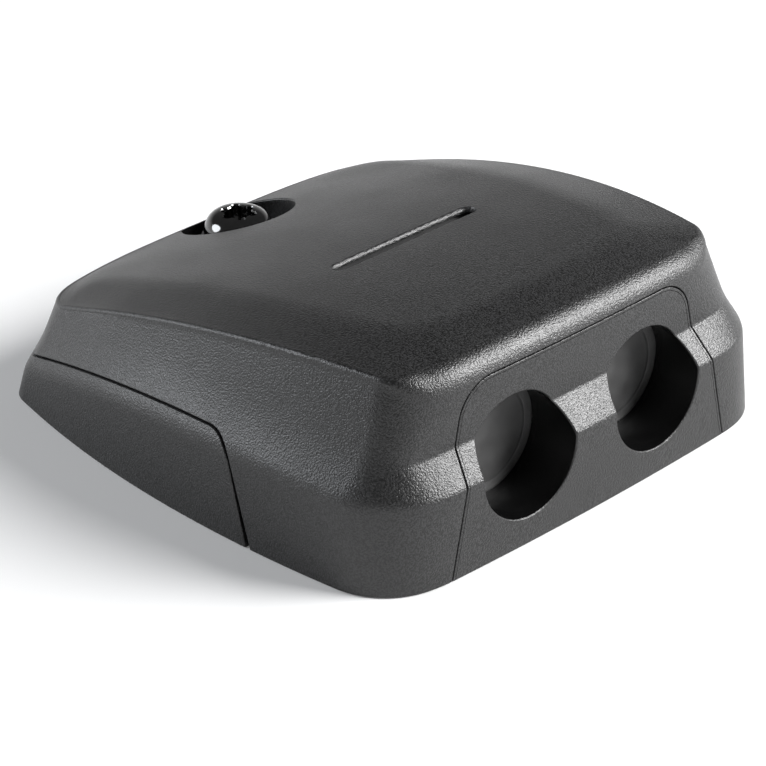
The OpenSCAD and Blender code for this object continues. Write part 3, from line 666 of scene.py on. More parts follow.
    def crease_x(self, y: Array | float) -> Array:
        """Half width between the side creases."""
        along = y - self.front_y - self.crease_mid
        return self.width / 2 - self.crease_in - self.crease_r + np.sqrt(self.crease_r**2 - along**2)

    def field_z(self, p: Array) -> Array:
        """Height of the flat field: the ridge less a small crown."""
        return self.ridge_z(p[..., 1]) - self.field_crown * (p[..., 0] / self.crease_x(p[..., 1])) ** 2

    def edge_z(self, p: Array) -> Array:
        """Height of the top's edge: the crease along the sides, a bowed line at the front and the rear.

        Args:
            p: Points (x, y).

        Returns:
            The heights.
        """
        y = p[..., 1]
        u = (np.abs(p[..., 0]) / self.crease_x(y)) ** 4
        rear = smooth((y - self.top_rear_y + self.edge_fade) / self.edge_rear_len)
        front = smooth((self.front_y + self.edge_fade - y) / self.edge_front_len)
        lift = rear * (self.ridge_z(y) - self.crease_z(y)) + front * self.front_edge_bow
        return self.crease_z(y) + (1 - u) * lift

    def plan(self, level: Level) -> tuple[Array, Array]:
        """Plan outline of one of the form's lines.

        Args:
            level: The line.

        Returns:
            Points of the right half, and the angles of their normals.
        """
        f, h, r = self.front_y, self.width / 2, self.rear_y
        fd, sd, mid = self.front_draft, self.side_draft, self.front_y + self.side_mid
        if level is Level.DECK:
            return self.foot_plan(0.0)
        if level is Level.WAIST:
            return self.half_outline(f + fd, h - sd, r - sd, self.bow_half - self.waist_bow_in,
                                     self.waist_corner_r, self.rear_corner_r, mid, self.side_front_r,
                                     self.side_rear_r)
        if level is Level.BAND:
            return self.half_outline(f + fd + self.band_front_in, h - sd - self.band_side_in,
                                     r - sd - self.band_rear_in, self.bow_half - self.band_bow_in,
                                     self.band_corner_r, self.rear_corner_r, mid, self.band_front_r,
                                     self.band_rear_r)
        return self.half_outline(f + fd + self.band_front_in + self.upper_front_in, h - self.crease_in,
                                 self.top_rear_y, self.bow_half - self.crease_bow_in, self.top_corner_r,
                                 self.top_corner_r, f + self.crease_mid, self.crease_r, self.crease_r)

    def foot_plan(self, inset: float) -> tuple[Array, Array]:
        """Outline on the deck, moved inwards."""
        return self.half_outline(self.front_y, self.width / 2, self.rear_y, self.bow_half,
                                 self.front_corner_r, self.rear_corner_r, self.front_y + self.side_mid,
                                 self.side_front_r, self.side_rear_r, inset)

    def edge_radius(self) -> Array:
        """Radius of the top's edge at each point of a half outline."""
        return mix(self.front_edge_r, self.side_edge_r, self.side_share)

    def field_point(self) -> Array:
        """Outline of the flat field, drawn in from the crease.

        Returns:
            Points (x, y) of the right half.
        """
        p = self.plan(Level.CREASE)[0]
        inset = self.front_draft + self.band_front_in + self.upper_front_in
        y, fade = p[:, 1], self.field_fore_len
        back = (self.field_d - inset) * (1 - smooth((y - self.front_y - inset) / self.field_back_len))
        fore = self.field_fore * smooth((y - self.top_rear_y + fade) / fade)
        share = mix(self.field_front_share, self.field_rear_share, ((y - self.front_y) / self.depth) ** 2)
        return np.stack([p[:, 0] * share, p[:, 1] + back - fore], -1)

    def field_level(self, share: float) -> Array:
        """Ring of the flat field, shrunk towards its middle by a share.

        Args:
            share: Size of the ring, 1 for the field's own outline.

        Returns:
            Points of the right half.
        """
        p = self.field_point()
        p = np.stack([p[:, 0] * share, self.field_cy + (p[:, 1] - self.field_cy) * share], -1)
        return np.concatenate([p, self.field_z(p)[:, None]], -1)

    @cached_property
    def lines(self) -> dict[str, Array]:
        """Named lines of the skin on the right half, each a row of points.

        Returns:
            The rows by their names.
        """
        deck, waist, band = (self.plan(level)[0] for level in (Level.DECK, Level.WAIST, Level.BAND))
        crease, angle = self.plan(Level.CREASE)
        r = self.edge_radius()
        end = crease - r * ray(angle)
        end_z = self.edge_z(end)[:, None]
        inwards = self.edge_middle * r
        rows = {
            "deck": np.concatenate([deck, np.zeros((len(deck), 1))], -1),
            "waist": np.concatenate([waist, self.waist_z(waist[:, 1])[:, None]], -1),
            "band": np.concatenate([band, self.waist_z(band[:, 1])[:, None] + self.band_rise], -1),
            "edge_start": np.concatenate([crease, end_z - r], -1),
            "edge_end": np.concatenate([end, end_z], -1),
            "edge_mid": np.concatenate([crease - inwards * ray(angle), end_z - inwards], -1),
        }
        hollow = mix(self.hollow_front, self.hollow_side, self.side_share)
        rows["band_low"] = mix(rows["band"], rows["waist"], hollow)
        rows["band_high"] = mix(rows["band"], rows["edge_start"], hollow * self.hollow_high)
        return rows

    @property
    def middle(self) -> Array:
        """Middle of the flat field."""
        p = np.array([0.0, self.field_cy])
        return np.array([0.0, self.field_cy, float(self.field_z(p))])

    @cached_property
    def skin(self) -> Array:
        """Rows of the outer skin, closed loops from the deck to near the middle of the top.

        Walls are straight between the named lines, with their corners rounded by parabolas. The
        top's edge is a quarter circle, and the flat field is its own formula on shrinking rings.

        Returns:
            Rows of points.
        """
        at = self.lines
        crease, angle = self.plan(Level.CREASE)
        ease = mix(self.waist_ease_front, self.waist_ease_side, self.side_share)
        waist_low = at["waist"] + ease * unit(at["deck"] - at["waist"])
        waist_high = at["waist"] + ease * unit(at["band"] - at["waist"])
        turn = np.linspace(0, math.pi / 2, self.edge_steps, endpoint=False)[:, None, None]
        r = self.edge_radius()
        plan = crease - r * (1 - np.cos(turn)) * ray(angle)
        arc = np.concatenate([plan, at["edge_end"][:, 2:] - r * (1 - np.sin(turn))], -1)
        edge = self.field_level(1.0)
        field_out = mix(edge, at["edge_end"], self.field_bend_out)
        shares = np.linspace(self.field_bend_in, self.field_tip, self.field_rings)
        inside = np.stack([self.field_level(share) for share in shares])
        n = self.wall_steps
        rows = np.concatenate([
            run(at["deck"], waist_low, n[0]),
            bend(waist_low, at["waist"], waist_high, n[1]),
            run(waist_high, at["band_low"], n[2]),
            bend(at["band_low"], at["band"], at["band_high"], n[3]),
            run(at["band_high"], at["edge_start"], n[4]),
            arc,
            run(at["edge_end"], field_out, self.field_steps[0]),
            bend(field_out, edge, inside[0], self.field_steps[1]),
            inside,
        ])
        return whole(rows)

    def core(self, depth: float) -> Array:
        """Rows of the skin's named lines, moved inwards along their own normals.

        Args:
            depth: Distance by which they are moved.

        Returns:
            Closed rows, the first of them on the deck.
        """
        at = self.lines
        edge = mix(self.field_level(1.0), at["edge_end"], self.core_edge_out)
        edge -= np.array([0, 0, self.core_edge_down])
        upper = mix(at["band_high"], at["edge_start"], mix(1.0, self.core_upper, self.side_share))
        rings = np.stack([at["deck"], at["waist"], at["band_low"], at["band_high"], upper, at["edge_mid"],
                          edge, *(self.field_level(share) for share in self.core_levels)])
        before = np.concatenate([rings[:, 1:2] * MIRROR, rings[:, :-1]], 1)
        after = np.concatenate([rings[:, 1:], rings[:, -2:-1] * MIRROR], 1)
        up = np.concatenate([rings[1:], rings[-1:]]) - np.concatenate([rings[:1], rings[:-1]])
        normals = unit(np.cross(after - before, up))
        gain = np.ones((len(rings), 1, 1)) * np.ones((1, rings.shape[1], 1))
        gain[1] = self.core_waist_gain
        gain[5] = mix(*self.core_edge_gain, self.side_share)
        moved = rings - depth * gain * normals
        foot = self.foot_plan(depth)[0]
        moved[0] = np.concatenate([foot, np.zeros((len(foot), 1))], -1)
        return whole(moved)

    def envelope(self) -> Solid:
        """Closed solid inside the whole skin.

        Returns:
            The solid.
        """
        rows, cols, _ = self.skin.shape
        points = np.concatenate([self.skin.reshape(-1, 3), self.middle[None]])
        faces = bands(0, rows, cols) + fan((rows - 1) * cols, cols, rows * cols)
        return Solid((points, faces + [list(range(cols - 1, -1, -1))]))

    def hood(self, outside: float, inside: float) -> Solid:
        """Closed shell between two depths below the skin.

        Args:
            outside: Depth of its outer face, 0 for the skin itself.
            inside: Depth of its inner face.

        Returns:
            The solid.
        """
        outer = self.core(outside) if outside else self.skin
        tip, inner_tip = (self.middle - np.array([0.0, 0.0, depth]) for depth in (outside, inside))
        return Solid(shell(outer, tip, self.core(inside), inner_tip))


@dataclass(frozen=True)
class SkinMap:
    """Finds points of the skin and their normals.

    The search starts within front_reach of the front for its wall, and past side_from for the
    side wall.
    """

    form: HousingForm
    front_reach: float = 14.0
    side_from: float = 38.0
    tries: int = 16

    def patch(self, u: Array, v: Array) -> tuple[Array, Array, Array]:
        """Points of the skin between its rows and columns.

        Args:
            u: Places along the rows' order, from 0 on the deck.
            v: Places along the columns' order.

        Returns:
            Points, and the steps to the next row and to the next column.
        """
        grid = self.form.skin
        rows, cols, _ = grid.shape
        i = np.clip(np.floor(u).astype(int), 0, rows - 2)
        j = np.floor(v).astype(int)
        s, t = (u - i)[:, None], (v - j)[:, None]
        k = (j + 1) % cols
        j = j % cols
        low, high = mix(grid[i, j], grid[i, k], t), mix(grid[i + 1, j], grid[i + 1, k], t)
        along = mix(grid[i, k] - grid[i, j], grid[i + 1, k] - grid[i + 1, j], s)
        return mix(low, high, s), high - low, along

    def at(self, u: Array, v: Array) -> tuple[Array, Array]:
        """Points of the skin and their outward normals."""
        point, up, along = self.patch(u, v)
        return point, unit(np.cross(along, up))

    def find(self, want: Array, axes: tuple[int, int], seeds: Array) -> tuple[Array, Array]:
        """Finds the skin's points that have two wanted coordinates.

        Newton's steps on the skin's patches, from the nearest of the seeds.

        Args:
            want: Wanted pairs of coordinates.
            axes: The two coordinates' numbers.
            seeds: Mask of the grid's points from which the search may start.

        Returns:
            Points and their outward normals.
        """
        rows, cols = np.nonzero(seeds)
        flat = self.form.skin[rows, cols][:, axes]
        near = ((want[:, None] - flat[None]) ** 2).sum(-1).argmin(1)
        u, v = rows[near].astype(float), cols[near].astype(float)
        for _ in range(self.tries):
            point, up, along = self.patch(u, v)
            miss = want - point[:, axes]
            a, b = up[:, axes], along[:, axes]
            area = a[:, 0] * b[:, 1] - a[:, 1] * b[:, 0]
            area = np.where(np.abs(area) < 1e-6, 1e-6, area)
            u = np.clip(u + np.clip((miss[:, 0] * b[:, 1] - miss[:, 1] * b[:, 0]) / area, -1, 1), 0,
                        self.form.skin.shape[0] - 1.001)
            v = v + np.clip((a[:, 0] * miss[:, 1] - a[:, 1] * miss[:, 0]) / area, -1, 1)
        return self.at(u, v)

    @cached_property
    def wall_rows(self) -> int:
        """Number of the rows that belong to the walls."""
        return sum(self.form.wall_steps)

    def front(self, want: Array) -> tuple[Array, Array]:
        """Points of the front wall at wanted (x, z).

        Args:
            want: Wanted pairs (x, z).

        Returns:
            Points and their outward normals.
        """
        grid = self.form.skin
        seeds = np.zeros(grid.shape[:2], bool)
        seeds[: self.wall_rows] = grid[: self.wall_rows, :, 1] < self.form.front_y + self.front_reach
        return self.find(want, (0, 2), seeds)

    def side(self, want: Array) -> tuple[Array, Array]:
        """Points of the right side wall at wanted (y, z).

        Args:
            want: Wanted pairs (y, z).

        Returns:
            Points and their outward normals.
        """
        grid = self.form.skin
        seeds = np.zeros(grid.shape[:2], bool)
        seeds[: self.wall_rows] = grid[: self.wall_rows, :, 0] > self.side_from
        return self.find(want, (1, 2), seeds)

    def top(self, want: Array) -> tuple[Array, Array]:
        """Points of the top at wanted (x, y).

        Args:
            want: Wanted pairs (x, y).

        Returns:
            Points and their outward normals.
        """
        seeds = np.zeros(self.form.skin.shape[:2], bool)
        seeds[self.wall_rows + self.form.edge_steps - 2:] = True
        return self.find(want, (0, 1), seeds)

    def level_line(self, height: Callable[[Array], Array], columns: Array) -> tuple[Array, Array]:
        """Points in which columns of the skin first rise above a height that depends on y.

        Args:
            height: The height as a function of y.
            columns: Numbers of the columns.

        Returns:
            Points and their outward normals.
        """
        grid = self.form.skin[: self.wall_rows, columns]
        over = grid[..., 2] - height(grid[..., 1])
        k = (over > 0).argmax(0)
        i = np.arange(len(columns))
        u = k - over[k, i] / (over[k, i] - over[k - 1, i])
        return self.at(u, columns.astype(float) + 1e-6)


# Seams and openings of the housing


@dataclass(frozen=True)
class Seams:
    """Lines along which the housing is divided, and the openings in it, in millimetres."""

    form: HousingForm
    skin_map: SkinMap
    rise: float = 2.05
    wing_front: float = 30.4
    wing_lean_deg: float = 18.0
    wing_corner_r: float = 6.0
    gap: float = 0.2
    wedge: float = 0.7
    panel_half: float = 31.6
    panel_taper: float = 0.22
    panel_h: float = 30.2
    panel_corner_r: float = 7.0
    panel_gap: float = 0.17
    port_r: float = 10.0
    port_pitch: float = 29.4
    port_h: float = 14.8
    slot_len: float = 31.6
    slot_w: float = 3.0
    slot_depth: float = 1.8
    slot_rear_r: float = 1.0
    slot_start_deg: float = 22.0
    slot_keel: float = 0.02
    slot_over: float = 4.0
    slot_d: float = 43.65
    bolt_rear_d: float = 12.0
    pocket_r: float = 10.0
    pocket_h: float = 16.8
    pocket_rear: float = 43.6
    pocket_open_deg: tuple[float, float] = (-217.0, 37.0)

    @property
    def bolt_y(self) -> float:
        """Place of the bolt's axis."""
        return self.form.rear_y - self.bolt_rear_d

    @property
    def port_centres(self) -> tuple[float, float]:
        """Places of the two ports' axes across the front."""
        return -self.port_pitch / 2, self.port_pitch / 2

    def seam_z(self, y: Array | float) -> Array:
        """Height of the seam over the wings and the rear rim."""
        return self.form.waist_z(y) + self.rise

    def wing_front_edge(self, grow: float, widen: float) -> tuple[Array, float]:
        """Front edge of a wing in side view: a leaning line and a corner arc.

        Args:
            grow: Distance by which the outline is grown.
            widen: Extra distance by which its foot is moved forward.

        Returns:
            Points (y, z) from below the deck to the seam, and the y in which the arc ends.
        """
        lean0 = math.radians(self.wing_lean_deg)
        top = float(self.seam_z(self.form.knee_y)) + grow
        r = self.wing_corner_r + grow
        foot = np.array([self.form.front_y + self.wing_front - grow / math.cos(lean0) - widen, 0.0])
        lean = math.atan((top * math.tan(lean0) + widen) / top)
        ahead, side = np.array([math.sin(lean), math.cos(lean)]), np.array([math.cos(lean), -math.sin(lean)])
        length = (top - r + r * math.sin(lean)) / math.cos(lean)
        centre = foot + length * ahead + r * side
        below, line_n, arc_n = 2, 26, 22
        straight = foot + np.linspace(-below, length, line_n, endpoint=False)[:, None] * ahead
        arc = centre + r * ray(np.linspace(math.pi - lean, math.pi / 2, arc_n))
        return np.concatenate([straight, arc]), float(centre[0])

    def wing_region(self, grow: float = 0.0, widen: float = 0.0, lift: float = 0.0) -> Solid:
        """Room that the wings and the rear rim take, across the whole width.

        Args:
            grow: Distance by which it is grown.
            widen: Extra distance by which its front foot is moved forward.
            lift: Distance by which it is raised.

        Returns:
            The solid.
        """
        edge, start = self.wing_front_edge(grow, widen)
        y = np.linspace(start, self.form.rear_y, 60)[1:]
        top = np.stack([y, self.seam_z(y) + grow], -1)
        past = 5
        end = self.form.rear_y + past
        rear = np.array([[end, top[-1, 1]], [end, edge[0, 1]]])
        outline = np.concatenate([edge, top, rear]) + np.array([0.0, lift])
        half = self.form.width / 2 + past
        return Solid(prism(outline, Axis.X, -half, half))

    def wing_edge(self, grow: float, widen: float) -> tuple[Array, Array]:
        """Path of the wings' edge on the skin, from the right foot round the rear to the left foot.

        Args:
            grow: Distance by which the wings' room is grown.
            widen: Extra distance by which its front foot is moved forward.

        Returns:
            Points and their outward normals.
        """
        edge, start = self.wing_front_edge(grow, widen)
        near, near_n = self.skin_map.side(np.maximum(edge, [[-99, 0.02]]))
        near[:, 2] = edge[:, 1]
        count = sum(self.form.steps) + 1
        columns = np.arange(count)
        deck = self.form.skin[0, :count]
        columns = columns[(deck[:, 0] > 0) & (deck[:, 1] > start + 0.6) | (columns == count - 1)]
        far, far_n = self.skin_map.level_line(lambda y: self.seam_z(y) + grow, columns)
        path, normals = np.concatenate([near, far]), np.concatenate([near_n, far_n])
        both = (np.concatenate([half, half[-2::-1] * MIRROR]) for half in (path, normals))
        return tuple(both)

    def panel_outline(self, grow: float) -> Array:
        """Front view of the panel as (x, z), from its right foot over the top to its left foot.

        Args:
            grow: Distance by which it is grown.

        Returns:
            Points (x, z).
        """
        lean = math.atan(self.panel_taper)
        r, top = self.panel_corner_r + grow, self.panel_h + grow
        half = self.panel_half + grow / math.cos(lean)
        cx = half - (top - r) * math.tan(lean) - r / math.cos(lean)
        corner = np.array([cx, top - r]) + r * ray(np.linspace(lean, math.pi / 2, 18))
        right = np.concatenate([[[half, 0.0]], corner])
        return np.concatenate([right, right[::-1] * MIRROR[:2]])

    def panel_column(self, grow: float, low: float = 0.0) -> Solid:
        """Room in front view of the panel, carried along the depth.

        Args:
            grow: Distance by which it is grown.
            low: Height of its lower end, or -1 for one below the deck.

        Returns:
            The solid.
        """
        outline = self.panel_outline(grow)
        foot = outline[[0, -1]] + np.array([[self.panel_taper, -1.0], [-self.panel_taper, -1.0]])
        if low < 0:
            outline = np.concatenate([foot[:1], outline, foot[1:]])
        if low > 0:
            outline[[0, -1], 1] = low
            outline[[0, -1], 0] -= np.array([1, -1]) * self.panel_taper * low
        return Solid(prism(outline, Axis.Y, self.form.front_y - 1, self.form.front_y + 30))

    def panel_edge(self, grow: float) -> tuple[Array, Array]:
        """Path of the panel's edge on the skin, from the right foot over the top to the left foot.

        Args:
            grow: Distance by which it is grown.

        Returns:
            Points and their outward normals.
        """
        corners = self.panel_outline(grow)
        length = np.concatenate([[0.0], np.linalg.norm(np.diff(corners, axis=0), axis=1).cumsum()])
        steps = np.linspace(0, length[-1], 300)
        line = np.stack([np.interp(steps, length, corners[:, k]) for k in (0, 1)], -1)
        path, normals = self.skin_map.front(np.maximum(line, [[-99, 0.02]]))
        below = np.array([[self.panel_taper, 0.0, -1.0]])
        first, last = path[:1] + below, path[-1:] + below * MIRROR
        return np.concatenate([first, path, last]), np.concatenate([normals[:1], normals, normals[-1:]])

    def port_edge(self, cx: float) -> tuple[Array, Array]:
        """Path of a port's rim on the skin."""
        t = np.linspace(0, 2 * math.pi, 160, endpoint=False)
        return self.skin_map.front(np.array([cx, self.port_h]) + self.port_r * ray(t))

    @property
    def slot_y(self) -> float:
        """Place of the slot."""
        return self.form.front_y + self.slot_d

    def slot_outline(self, ease: float) -> Array:
        """Plan of the slot with its round ends, grown by ease.

        Args:
            ease: Distance by which it is grown.

        Returns:
            Points (x, y).
        """
        r = self.slot_w / 2 + ease
        half = self.slot_len / 2 - self.slot_w / 2
        a = np.linspace(-math.pi / 2, math.pi / 2, 17)
        right = np.array([half, self.slot_y]) + r * ray(a)
        left = np.array([-half, self.slot_y]) - r * ray(a)
        straight = np.linspace(half, -half, 50)[1:-1, None]
        upper = np.concatenate([straight, np.full_like(straight, self.slot_y + r)], -1)
        lower = np.concatenate([-straight, np.full_like(straight, self.slot_y - r)], -1)
        return np.concatenate([right, upper, left, lower])

    def slot(self) -> Solid:
        """Blind recess of the slot. Its rear edge is an arc of slot_rear_r that starts at a slant.

        Returns:
            The solid.
        """
        start, r = math.radians(self.slot_start_deg), self.slot_rear_r
        a = np.linspace(math.pi / 2, start, 12)
        reach = (r * (1 - np.sin(a))) / 2
        depth = r * (math.cos(start) - np.cos(a))
        keel = self.slot_keel - self.slot_w / 2
        levels = [(keel, self.slot_depth), (0.0, self.slot_depth), *zip(reach, depth),
                  (reach[-1], -self.slot_over)]
        rows = []
        for ease, below in levels:
            plan = self.slot_outline(ease) + np.array([0.0, max(ease, 0.0)])
            rows.append(np.concatenate([plan, (self.form.field_z(plan) - below)[:, None]], -1))
        return Solid(loft(np.stack(rows)))

    def pocket(self) -> Solid:
        """Pocket of the bolt, flattened behind the bolt's head so that a thin wall stays there."""
        room = block((-20, 20), (0, self.pocket_rear), (0, 60))
        return Solid(disc(self.pocket_r, self.pocket_h, 50, (0.0, self.bolt_y, 0.0))).keep(Solid(room))

    def pocket_edge(self) -> tuple[Array, Array]:
        """Path of the pocket's rim where it lies on the top, open towards the rear."""
        a = np.radians(np.linspace(*self.pocket_open_deg, 150))
        return self.skin_map.top(np.array([0.0, self.bolt_y]) + self.pocket_r * ray(a))

    def round_edge(self, edge: tuple[Array, Array], radius: float, ring: bool = False) -> Solid:
        """Cutter that rounds an edge along its path."""
        return Solid(sweep(edge[0], edge[1], rounding(radius), ring))


# Finishes


class Finish:
    """A finish that knows how to make its material, once."""

    made: dict[str, bpy.types.Material] = {}

    def build(self, graph: "Graph") -> None:
        """Sets up the nodes of the finish."""
        raise NotImplementedError

    def material(self) -> bpy.types.Material:
        """Material of this finish, made on its first use."""
        if self.name not in Finish.made:
            made = bpy.data.materials.new(self.name)
            made.use_nodes = True
            self.build(Graph(made.node_tree))
            Finish.made[self.name] = made
        return Finish.made[self.name]


class Graph:
    """Short calls for the nodes of a material."""

    def __init__(self, tree: bpy.types.NodeTree, shader: str = "Principled BSDF",
                 place: str = "Object") -> None:
        """Keeps the tree, its shader, and the coordinates that its textures use.

        Args:
            tree: The node tree.
            shader: Name of its shader node.
            place: Name of the coordinates.
        """
        self.tree = tree
        self.shader = tree.nodes[shader]
        self.place = tree.nodes.new("ShaderNodeTexCoord").outputs[place]

    def link(self, source: bpy.types.NodeSocket, target: bpy.types.NodeSocket) -> None:
        """Joins two sockets."""
        self.tree.links.new(source, target)

    def set(self, name: str, value: float | tuple) -> None:
        """Sets one of the shader's own values."""
        self.shader.inputs[name].default_value = value

    def dress(self, colour: bpy.types.NodeSocket, rough: bpy.types.NodeSocket,
              normal: bpy.types.NodeSocket) -> None:
        """Joins colour, roughness and normal to the shader."""
        for source, name in ((colour, "Base Color"), (rough, "Roughness"), (normal, "Normal")):
            self.link(source, self.shader.inputs[name])

    def noise(self, size_mm: float, detail: float, rough: float = 0.5) -> bpy.types.NodeSocket:
        """Soft noise whose features are about that size.

        Args:
            size_mm: Size of the features.
            detail: Number of finer layers.
            rough: Weight of the finer layers.

        Returns:
            The noise's value socket.
        """
        node = self.tree.nodes.new("ShaderNodeTexNoise")
        node.inputs["Scale"].default_value = 1 / (size_mm * MM)
        node.inputs["Detail"].default_value = detail
        node.inputs["Roughness"].default_value = rough
        self.link(self.place, node.inputs["Vector"])
        return node.outputs["Fac"]

    def spread(self, value: bpy.types.NodeSocket, low: float, high: float, start: float = 0.3,
               end: float = 0.7) -> bpy.types.NodeSocket:
        """Value carried from the range start to end onto the range low to high.

        Args:
            value: The value.
            low: Result at the start.
            high: Result at the end.
            start: Start of the value's range.
            end: End of the value's range.

        Returns:
            The result's socket.
        """
        node = self.tree.nodes.new("ShaderNodeMapRange")
        for name, number in (("From Min", start), ("From Max", end), ("To Min", low), ("To Max", high)):
            node.inputs[name].default_value = number
        self.link(value, node.inputs["Value"])
        return node.outputs["Result"]

    def tint(self, value: bpy.types.NodeSocket, dark: tuple, light: tuple) -> bpy.types.NodeSocket:
        """Colour between dark and light, by a value from 0 to 1.

        Args:
            value: Share of the way.
            dark: Colour at 0.
            light: Colour at 1.

        Returns:
            The result's socket.
        """
        node = self.tree.nodes.new("ShaderNodeMix")
        node.data_type = "RGBA"
        node.inputs[6].default_value = (*dark, 1)
        node.inputs[7].default_value = (*light, 1)
        self.link(value, node.inputs[0])
        return node.outputs[2]

    def bump(self, height: bpy.types.NodeSocket, strength: float, depth_mm: float) -> bpy.types.NodeSocket:
        """Bump of that strength and depth.

        Args:
            height: Height from 0 to 1.
            strength: Strength of the bump.
            depth_mm: Depth that a height of 1 stands for.

        Returns:
            The result's socket.
        """
        node = self.tree.nodes.new("ShaderNodeBump")
        node.inputs["Strength"].default_value = strength
        node.inputs["Distance"].default_value = depth_mm * MM
        self.link(height, node.inputs["Height"])
        return node.outputs["Normal"]

    def blend(self, share: bpy.types.NodeSocket, ends: tuple) -> bpy.types.NodeSocket:
        """Value that share of the way between two ends, each a socket or a number.

        Args:
            share: Share of the way.
            ends: The two ends.

        Returns:
            The result's socket.
        """
        node = self.tree.nodes.new("ShaderNodeMix")
        self.link(share, node.inputs[0])
        for end, target in zip(ends, node.inputs[2:4]):
            if isinstance(end, float):
                target.default_value = end
            else:
                self.link(end, target)
        return node.outputs[0]

    def seen(self) -> bpy.types.NodeSocket:
        """Value that is 1 for rays from the camera, and for glossy and transmission rays.

        Returns:
            The result's socket.
        """
        path = self.tree.nodes.new("ShaderNodeLightPath")
        total = path.outputs["Is Camera Ray"]
        for name in ("Is Glossy Ray", "Is Transmission Ray"):
            most = self.tree.nodes.new("ShaderNodeMath")
            most.operation = "MAXIMUM"
            self.link(total, most.inputs[0])
            self.link(path.outputs[name], most.inputs[1])
            total = most.outputs[0]
        return total


@dataclass(frozen=True)
class SpeckledFinish(Finish):
    """Moulding with the fine pits of a spark-eroded mould."""

    name: str
    dark: Triple = (0.001, 0.001, 0.001)
    light: Triple = (0.024, 0.024, 0.0247)
    contrast: tuple[float, float] = (0.4, 0.6)
    rough: tuple[float, float] = (0.34, 0.4)
    specular: float = 0.6
    grain_mm: float = 0.3
    pit_mm: float = 0.115
    drift_mm: float = 14.0

    def build(self, graph: Graph) -> None:
        """Speckle in colour and height from one grain, and a slow drift of the roughness.

        Args:
            graph: Short calls for the material's nodes.
        """
        grain = graph.noise(self.grain_mm, 1.0, 0.6)
        graph.dress(graph.tint(graph.spread(grain, 0, 1, *self.contrast), self.dark, self.light),
                    graph.spread(graph.noise(self.drift_mm, 1.0), *self.rough),
                    graph.bump(grain, 1.0, self.pit_mm))
        graph.set("Specular IOR Level", self.specular)


@dataclass(frozen=True)
class CloudyFinish(Finish):
    """Finish whose colour and roughness drift together over a finely bumped skin.

    The noises are given as (size in mm, finer layers, their weight), the bump as (strength,
    depth in mm), and contrast is the part of the cloud's range that goes from dark to light.
    """

    name: str
    dark: Triple
    light: Triple
    rough: tuple[float, float]
    cloud: Triple
    skin: Triple
    bump: tuple[float, float]
    contrast: tuple[float, float] = (0.0, 1.0)
    specular: float = 0.5
    metallic: float = 0.0

    def build(self, graph: Graph) -> None:
        """Clouds in colour and roughness, and the skin's bump.

        Args:
            graph: Short calls for the material's nodes.
        """
        cloud = graph.noise(*self.cloud)
        graph.dress(graph.tint(graph.spread(cloud, 0, 1, *self.contrast), self.dark, self.light),
                    graph.spread(cloud, *self.rough), graph.bump(graph.noise(*self.skin), *self.bump))
        graph.set("Specular IOR Level", self.specular)
        graph.set("Metallic", self.metallic)


BLACK = SpeckledFinish("textured_black_moulding")
# Smoother, darker copy of the black moulding for the port bores and the lower slot walls: its darker colour
# is painted shade in those recesses
SMOOTH_PAINTED_SHADE = CloudyFinish("smooth_black_moulding_painted_shade", (0.002, 0.002, 0.002), (0.005, 0.005, 0.0051), (0.16, 0.24),
                      (4.0, 2.0, 0.5), (0.6, 1.0, 0.5), (0.1, 0.01), specular=0.4)
RUBBER = CloudyFinish("satin_rubber", (0.045, 0.045, 0.045), (0.065, 0.065, 0.065), (0.4, 0.52),
                      (3.0, 3.0, 0.5), (0.4, 3.0, 0.6), (0.5, 0.03), contrast=(0.3, 0.7), specular=0.9)
GREY = CloudyFinish("plain_grey_moulding", (0.05, 0.05, 0.053), (0.07, 0.07, 0.073), (0.32, 0.42),
                    (5.0, 2.0, 0.5), (0.9, 1.0, 0.5), (0.15, 0.02))
STEEL = CloudyFinish("polished_steel", (0.36, 0.36, 0.37), (0.5, 0.5, 0.51), (0.1, 0.2),
                     (2.2, 3.0, 0.6), (0.25, 2.0, 0.5), (0.08, 0.01), metallic=1.0)
DARK_STEEL = replace(STEEL, name="dark_polished_steel", dark=(0.10, 0.10, 0.10), light=(0.17, 0.17, 0.17),
                     rough=(0.06, 0.14))
BRASS = replace(STEEL, name="turned_brass", dark=(0.6, 0.42, 0.16), light=(0.78, 0.58, 0.26),
                rough=(0.2, 0.34))


# Sub-assemblies


